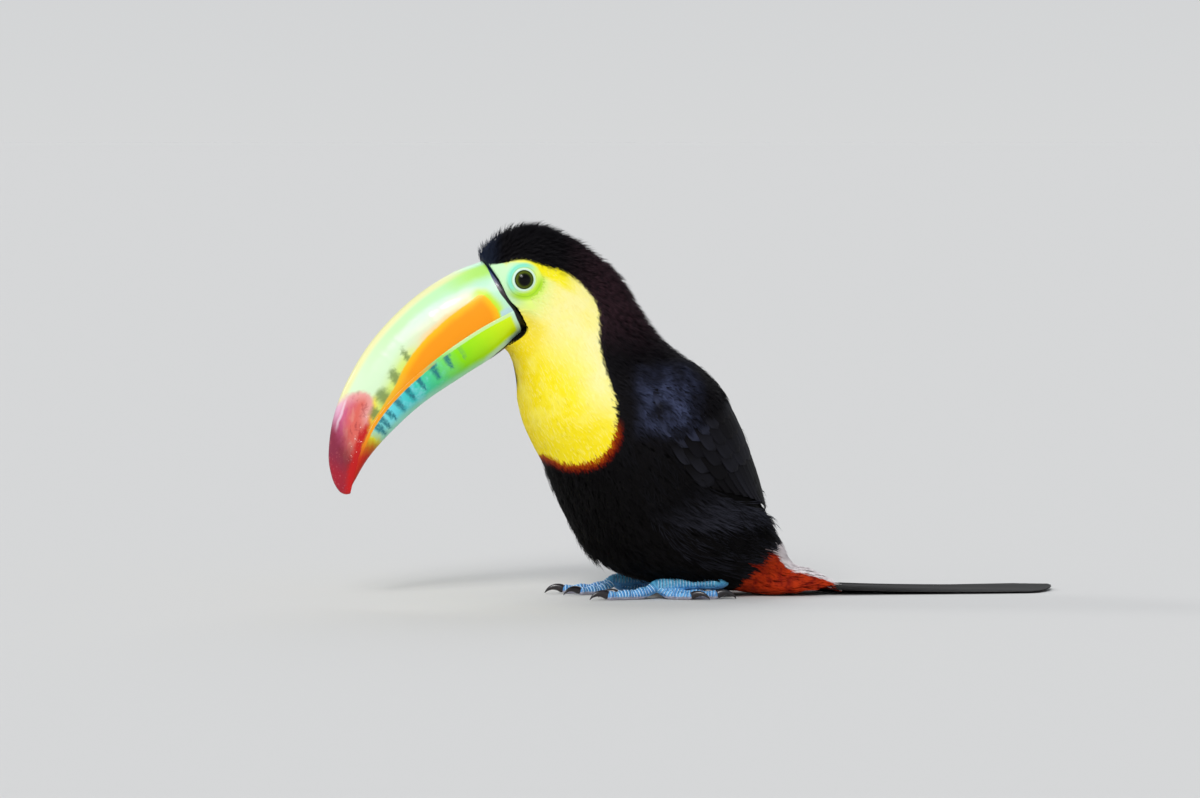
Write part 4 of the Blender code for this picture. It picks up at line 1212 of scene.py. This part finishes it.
def bent_tube(path, radii, around, tall=1.0, wide=1.0):
    """Rings round a path that lies in an upright plane, with round ends."""
    path, radii = np.asarray(path, float), np.asarray(radii, float)
    forward = unit(np.gradient(path, axis=0))
    side = unit(np.cross(forward, (0, 0, 1.0)))
    upward = np.cross(side, forward)
    spin = np.arange(around) * TAU / around
    ring = side[:, None] * (np.cos(spin) * wide)[None, :, None]
    ring = ring + upward[:, None] * (np.sin(spin) * tall)[None, :, None]
    rings = path[:, None] + ring * radii[:, None, None]

    def end_ring(end, share, out):
        return path[end] + (rings[end] - path[end]) * share + forward[end] * radii[end] * out

    start = [end_ring(0, 0.35, -0.75), end_ring(0, 0.8, -0.45)]
    finish = [end_ring(-1, 0.8, 0.45), end_ring(-1, 0.35, 0.75)]
    return np.concatenate([start, rings, finish])


def toe_line(side_name, side, number):
    """A toe's middle line from the ankle down to the floor, its thickness, and the way it points."""
    length, heading, radius = TOES[number]
    place_x, place_y = FOOT_PLACE[side_name]
    turn = math.radians(heading)
    ahead = np.array([side * math.sin(turn), -math.cos(turn), 0.0])
    shares = np.linspace(0, 1, 40)
    drop = (ANKLE_HEIGHT - radius) * np.clip(1 - shares / 0.45, 0, 1) ** 1.6
    radii = radius * (1.04 - 0.26 * shares + 0.07 * np.cos(shares * 6 * math.pi))
    line = np.array([side * place_x, place_y, 0]) + ahead * (length * shares)[:, None]
    line[:, 2] = 0.88 * radii + drop
    return line, radii, ahead


def scute_plate(material):
    """One scale of a foot, round a toe 1 mm in radius that runs along +Y through the origin, with +Z up."""
    spin = np.radians(np.linspace(-118, 118, 15))
    along = np.array([-0.34, -0.10, 0.18, 0.36, 0.40])
    proud = np.array([1.015, 1.05, 1.085, 1.075, 1.0])
    fade = 1 - 0.055 * np.abs(spin / spin[-1]) ** 3
    radius = proud[:, None] * fade[None]
    lean = along[:, None] + 0.10 * np.cos(spin)[None]
    outer = np.stack([np.sin(spin) * radius, lean, np.cos(spin) * radius], axis=-1)
    inner = outer * (0.86, 1, 0.86)
    rings = np.concatenate([outer, inner[:, ::-1]], axis=1)
    return ringed("foot_scale", rings - (0, SHIFT_Y, 0), material,
                  {"rim": np.repeat(np.linspace(0, 1, 5), rings.shape[1])})


def scale_tree(material):
    """Geometry Nodes: sets a plate along a line at even steps, as wide as the line's own thickness says."""
    tree = bpy.data.node_groups.new("scales along a toe", "GeometryNodeTree")
    tree.is_modifier = True

    def socket(name, kind, way="INPUT"):
        return tree.interface.new_socket(name, in_out=way, socket_type=f"NodeSocket{kind}").identifier

    sockets = {name: socket(name, kind) for name, kind in (("Geometry", "Geometry"), ("Step", "Float"),
                                                           ("Plate", "Object"), ("Plate Length", "Float"))}
    socket("Geometry", "Geometry", "OUTPUT")

    def node(kind, settings=(), **wired):
        made = tree.nodes.new(kind)
        for key, value in dict(settings).items():
            setattr(made, key, value)
        for key, value in wired.items():
            into = made.inputs[key.replace("_", " ")]
            if isinstance(value, bpy.types.NodeSocket):
                tree.links.new(value, into)
            else:
                into.default_value = value
        return made

    given = node("NodeGroupInput").outputs
    line = node("GeometryNodeMeshToCurve", Mesh=given["Geometry"])
    steps = node("GeometryNodeResampleCurve", {"mode": "LENGTH"}, Curve=line.outputs[0],
                 Length=given["Step"])
    thick = node("GeometryNodeInputNamedAttribute", {"data_type": "FLOAT"}, Name="thick").outputs[0]
    tangent = node("GeometryNodeInputTangent").outputs[0]
    level = node("FunctionNodeAlignRotationToVector", {"axis": "Y", "pivot_axis": "Z"}, Vector=tangent)
    pitched = node("FunctionNodeAlignRotationToVector", {"axis": "Y", "pivot_axis": "X"},
                   Rotation=level.outputs[0], Vector=tangent)
    size = node("ShaderNodeCombineXYZ", X=thick, Y=given["Plate Length"], Z=thick)
    plate = node("GeometryNodeObjectInfo", Object=given["Plate"]).outputs["Geometry"]
    scales = node("GeometryNodeInstanceOnPoints", Points=steps.outputs[0], Instance=plate,
                  Rotation=pitched.outputs[0], Scale=size.outputs[0])
    real = node("GeometryNodeRealizeInstances", Geometry=scales.outputs[0])
    coloured = node("GeometryNodeSetMaterial", Geometry=real.outputs[0], Material=material)
    tree.links.new(coloured.outputs[0], node("NodeGroupOutput").inputs[0])
    return tree, sockets


def plain_mesh_of(made, material):
    """Replaces an object's mesh by what its modifiers make of it, in one material."""
    result = bpy.data.meshes.new_from_object(made.evaluated_get(bpy.context.evaluated_depsgraph_get()))
    made.modifiers.clear()
    made.data = result
    result.materials.clear()
    result.materials.append(material)
    return made


def foot_scales(side_name, side, tree, sockets, plate, material):
    """The overlapping scales along the top of a foot's four toes and shank."""
    lines = []
    for number in TOES:
        line, radii, _ = toe_line(side_name, side, number)
        lines.append((line[3:-1], radii[3:-1]))
    line, radii = shank_line(side_name, side)
    lines.append((line[1:-6], radii[1:-6]))
    bm = bmesh.new()
    thick = bm.verts.layers.float.new("thick")
    for line, radii in lines:
        before = None
        for point, radius in zip(line, radii):
            vertex = bm.verts.new(Vector(point + (0, SHIFT_Y, 0)) * MM)
            vertex[thick] = radius
            if before:
                bm.edges.new((before, vertex))
            before = vertex
    mesh = bpy.data.meshes.new(f"foot_scales_{side_name}")
    bm.to_mesh(mesh)
    bm.free()
    made = in_scene(mesh.name, mesh)
    modifier = made.modifiers.new("scales", "NODES")
    modifier.node_group = tree
    for name, value in (("Step", 1.5 * MM), ("Plate Length", 2.2), ("Plate", plate)):
        modifier[sockets[name]] = value
    return plain_mesh_of(made, material)


def shank_line(side_name, side):
    """A shank's middle line from the ankle back to the heel, and its thickness."""
    place_x, place_y = FOOT_PLACE[side_name]
    ankle = np.array([side * place_x, place_y, ANKLE_HEIGHT])
    heel = ankle + (side * 1.5, SHANK_LENGTH, 1.6)
    shares = np.linspace(-0.04, 1.04, 34)
    radii = SHANK_RADIUS * np.interp(shares, (-0.06, 0.1, 0.35, 0.65, 0.88, 1.0, 1.06),
                                     (0.8, 1.08, 0.94, 0.96, 1.14, 1.02, 0.7))
    return ankle + (heel - ankle) * shares[:, None], radii


def foot_finish():
    f = Finish("blue foot skin", Roughness=0.48, Specular_IOR_Level=0.4)
    rim, z = f.attribute("rim"), f.part("Z")
    blotch, fine = f.noise(5, 3), f.noise(1.2, 3)
    colour = f.mix(f.ease(blotch + fine * 0.5, -0.25, 0.3), (0.05, 0.21, 0.52), (0.15, 0.46, 0.80))
    colour = f.mix(f.ease(z + blotch * 3, 4.5, 8.0) * 0.6, colour, (0.05, 0.32, 0.42))
    # Pale edges of the scales: partly their own colour, partly a painted highlight on each scale's raised
    # edge.
    edge = f.ease(rim + fine * 0.4, 0.50, 0.72) * f.ease(rim, 1.0, 0.88)
    colour = f.mix(edge * 0.85, colour, (0.66, 0.84, 0.95))
    colour = f.mix(f.ease(rim + fine * 0.2, 0.30, 0.0) * 0.9, colour, (0.012, 0.06, 0.20))
    colour = f.mix(f.ease(z + fine * 0.8, 1.9, 0.9) * 0.85, colour, (0.50, 0.45, 0.50))
    pebbles = f.node("ShaderNodeTexVoronoi", {"feature": "DISTANCE_TO_EDGE"},
                     {"Vector": f.place(), "Scale": 900.0})
    f.bump(f.ease(pebbles, 0.0, 0.28) + fine * 0.3, 0.16, 0.8)
    return f.set(Base_Color=colour).material


def claw_finish():
    f = Finish("claw horn", Roughness=0.3)
    streak, along = f.noise(3, 3), f.attribute("along")
    colour = f.mix(f.ease(streak, -0.2, 0.3), (0.006, 0.005, 0.007), (0.024, 0.016, 0.018))
    colour = f.mix(f.ease(along + streak * 0.1, 0.14, 0.02) * 0.8, colour, (0.20, 0.14, 0.15))
    return f.set(Base_Color=colour, Coat_Weight=0.25, Coat_Roughness=0.15).material


def foot_skin(side_name, side, material):
    """A foot's skin: tubes for toes, their pads and the shank, joined into one."""
    tubes = []
    for number in TOES:
        line, radii, _ = toe_line(side_name, side, number)
        tubes.append(bent_tube(line, radii * 0.985, 20))
        pad = radii * (0.93 + 0.10 * np.cos(np.linspace(0, 1, len(radii)) * 6 * math.pi))
        tubes.append(bent_tube(line - (0, 0, 0.05), pad * 0.99, 20))
    tubes.append(bent_tube(*shank_line(side_name, side), 24))
    faces, start = [], 0
    for rings in tubes:
        faces += [part + start for part in closed_faces(*rings.shape[:2])]
        start += rings.size // 3
    points = np.concatenate([rings.reshape(-1, 3) for rings in tubes])
    foot = keep_outward(mesh_object(f"foot_skin_{side_name}", points, faces, material))
    remesh = foot.modifiers.new("one skin", "REMESH")
    remesh.mode, remesh.use_smooth_shade = "VOXEL", True
    remesh.voxel_size = 0.34 * MM
    foot.modifiers.new("soft", "SMOOTH").iterations = 3
    mesh = plain_mesh_of(foot, material).data
    co = np.empty(len(mesh.vertices) * 3, np.float32)
    mesh.vertices.foreach_get("co", co)
    co[2::3] = np.maximum(co[2::3], 0)
    mesh.vertices.foreach_set("co", co)
    rim = np.full(len(mesh.vertices), 0.4, np.float32)
    mesh.attributes.new("rim", "FLOAT", "POINT").data.foreach_set("value", rim)
    mesh.update()
    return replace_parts(foot, f"leg_{side_name}")


def foot_claws(side_name, side, material):
    """The four claws of a foot, as one piece."""
    claws = np.stack([claw_rings(side_name, side, number) for number in TOES])
    bodies, count, around = claws.shape[:3]
    along = np.tile(np.repeat(np.linspace(0, 1, count), around), bodies)
    made = mesh_object(f"claws_{side_name}", claws, closed_faces(count, around, bodies), material,
                       {"along": along})
    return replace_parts(keep_outward(made), *[f"claw_{side_name}_{number}" for number in TOES])


def make_feet():
    skin_look, horn = foot_finish(), claw_finish()
    plate = scute_plate(skin_look)
    tree, sockets = scale_tree(skin_look)
    made = []
    for side_name, side in SIDES:
        made.append(foot_skin(side_name, side, skin_look))
        made.append(foot_scales(side_name, side, tree, sockets, plate, skin_look))
        made.append(foot_claws(side_name, side, horn))
    bpy.data.objects.remove(plate)
    return made


def claw_rings(side_name, side, number):
    """A claw that leaves the toe's end level and hooks down to just above the floor."""
    line, radii, ahead = toe_line(side_name, side, number)
    radius = radii[-1]
    tip = line[-1] + ahead * 0.6
    steps, turn, thick = 18, math.radians(CLAW_DROP), radius * 0.84
    path = [tip + ahead * 0.1 + (0, 0, 0.5), tip + ahead * 1.25 + (0, 0, 0.5)]
    widths = [thick * 0.92, thick]
    for step in range(1, steps):
        pitch = 0.4 - turn * (step - 0.5) / (steps - 1) * 1.35
        onward = ahead * math.cos(pitch) + np.array([0, 0, math.sin(pitch)])
        path.append(path[-1] + onward * CLAW_LENGTH / steps)
        widths.append(thick * max(1 - step / (steps - 0.6), 0.05) ** 0.8)
    path, widths = np.array(path), np.array(widths)
    lowest = (path[:, 2] - widths).min()
    path[:, 2] -= (lowest - FLOOR_GAP) * np.clip(np.arange(len(path)) - 1, 0, None) / (steps - 1)
    return bent_tube(path, widths * (0.86, *[1] * (len(widths) - 1)), 16, 1.15, 0.78)


def looking(name, data, aim, away, distance=1.0):
    """A lamp or camera that looks at aim from the direction away."""
    made = in_scene(name, data)
    made.location = aim + away * distance
    made.rotation_euler = (-away).to_track_quat("-Z", "Y").to_euler()
    return made


def make_stage():
    floor = Finish("studio floor", Base_Color=(0.64, 0.63, 0.61), Roughness=1.0, Specular_IOR_Level=0.0)
    bpy.ops.mesh.primitive_plane_add(size=400, location=(0, 0, -0.0002))
    plane = bpy.context.object
    plane.name = "studio_floor"
    plane.data.materials.append(floor.material)
    world = bpy.context.scene.world or bpy.data.worlds.new("studio")
    bpy.context.scene.world = world
    world.use_nodes = True
    nodes, links = world.node_tree.nodes, world.node_tree.links
    height = nodes.new("ShaderNodeSeparateXYZ")
    links.new(nodes.new("ShaderNodeTexCoord").outputs["Generated"], height.inputs[0])
    sky = nodes.new("ShaderNodeValToRGB")
    ramp = sky.color_ramp.elements
    ramp[0].position, ramp[0].color = 0.0, (0.672, 0.68, 0.685, 1)
    ramp[1].position, ramp[1].color = 0.45, (0.40, 0.43, 0.48, 1)
    links.new(height.outputs[2], sky.inputs[0])
    links.new(sky.outputs[0], nodes["Background"].inputs[0])
    aim = Vector((0, SHIFT_Y * MM, 0.09))
    for name, away, strength, spread in (("key light", (0.85, -0.45, 0.75), 1.62, 28),
                                         ("eye light", (0.85, -0.45, 0.75), 0.45, 7),
                                         ("far light", (-1, 0.3, 0.8), 0.8, 50),
                                         ("front light", (-0.32, -0.84, 0.44), 0.5, 10)):
        data = bpy.data.lights.new(name, "SUN")
        data.energy, data.angle = strength, math.radians(spread)
        looking(name, data, aim, Vector(away))


def make_camera():
    turn, tilt = math.radians(79), math.radians(3)
    away = Vector((math.sin(turn) * math.cos(tilt), -math.cos(turn) * math.cos(tilt), math.sin(tilt)))
    data = bpy.data.cameras.new("camera")
    data.sensor_width, data.lens = 36, 150
    scene = bpy.context.scene
    scene.camera = looking("camera", data, Vector((0, SHIFT_Y * MM, 0.099)), away, 2.5)
    scene.view_settings.view_transform = "Standard"


def main():
    make_stage()
    make_camera()
    plumage, skin_look = plumage_finish("plumage"), plumage_finish("skin", 0.5)
    ridden = [make_skin(skin_look), *make_bill(), tail_feathers(plumage)]
    ridden += region_coats(plumage)
    ridden += [wing_feathers(name, side, plumage) for name, side in SIDES]
    ridden += make_feet()
    make_eyes()
    for piece in ridden:
        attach(piece, "root")


main()
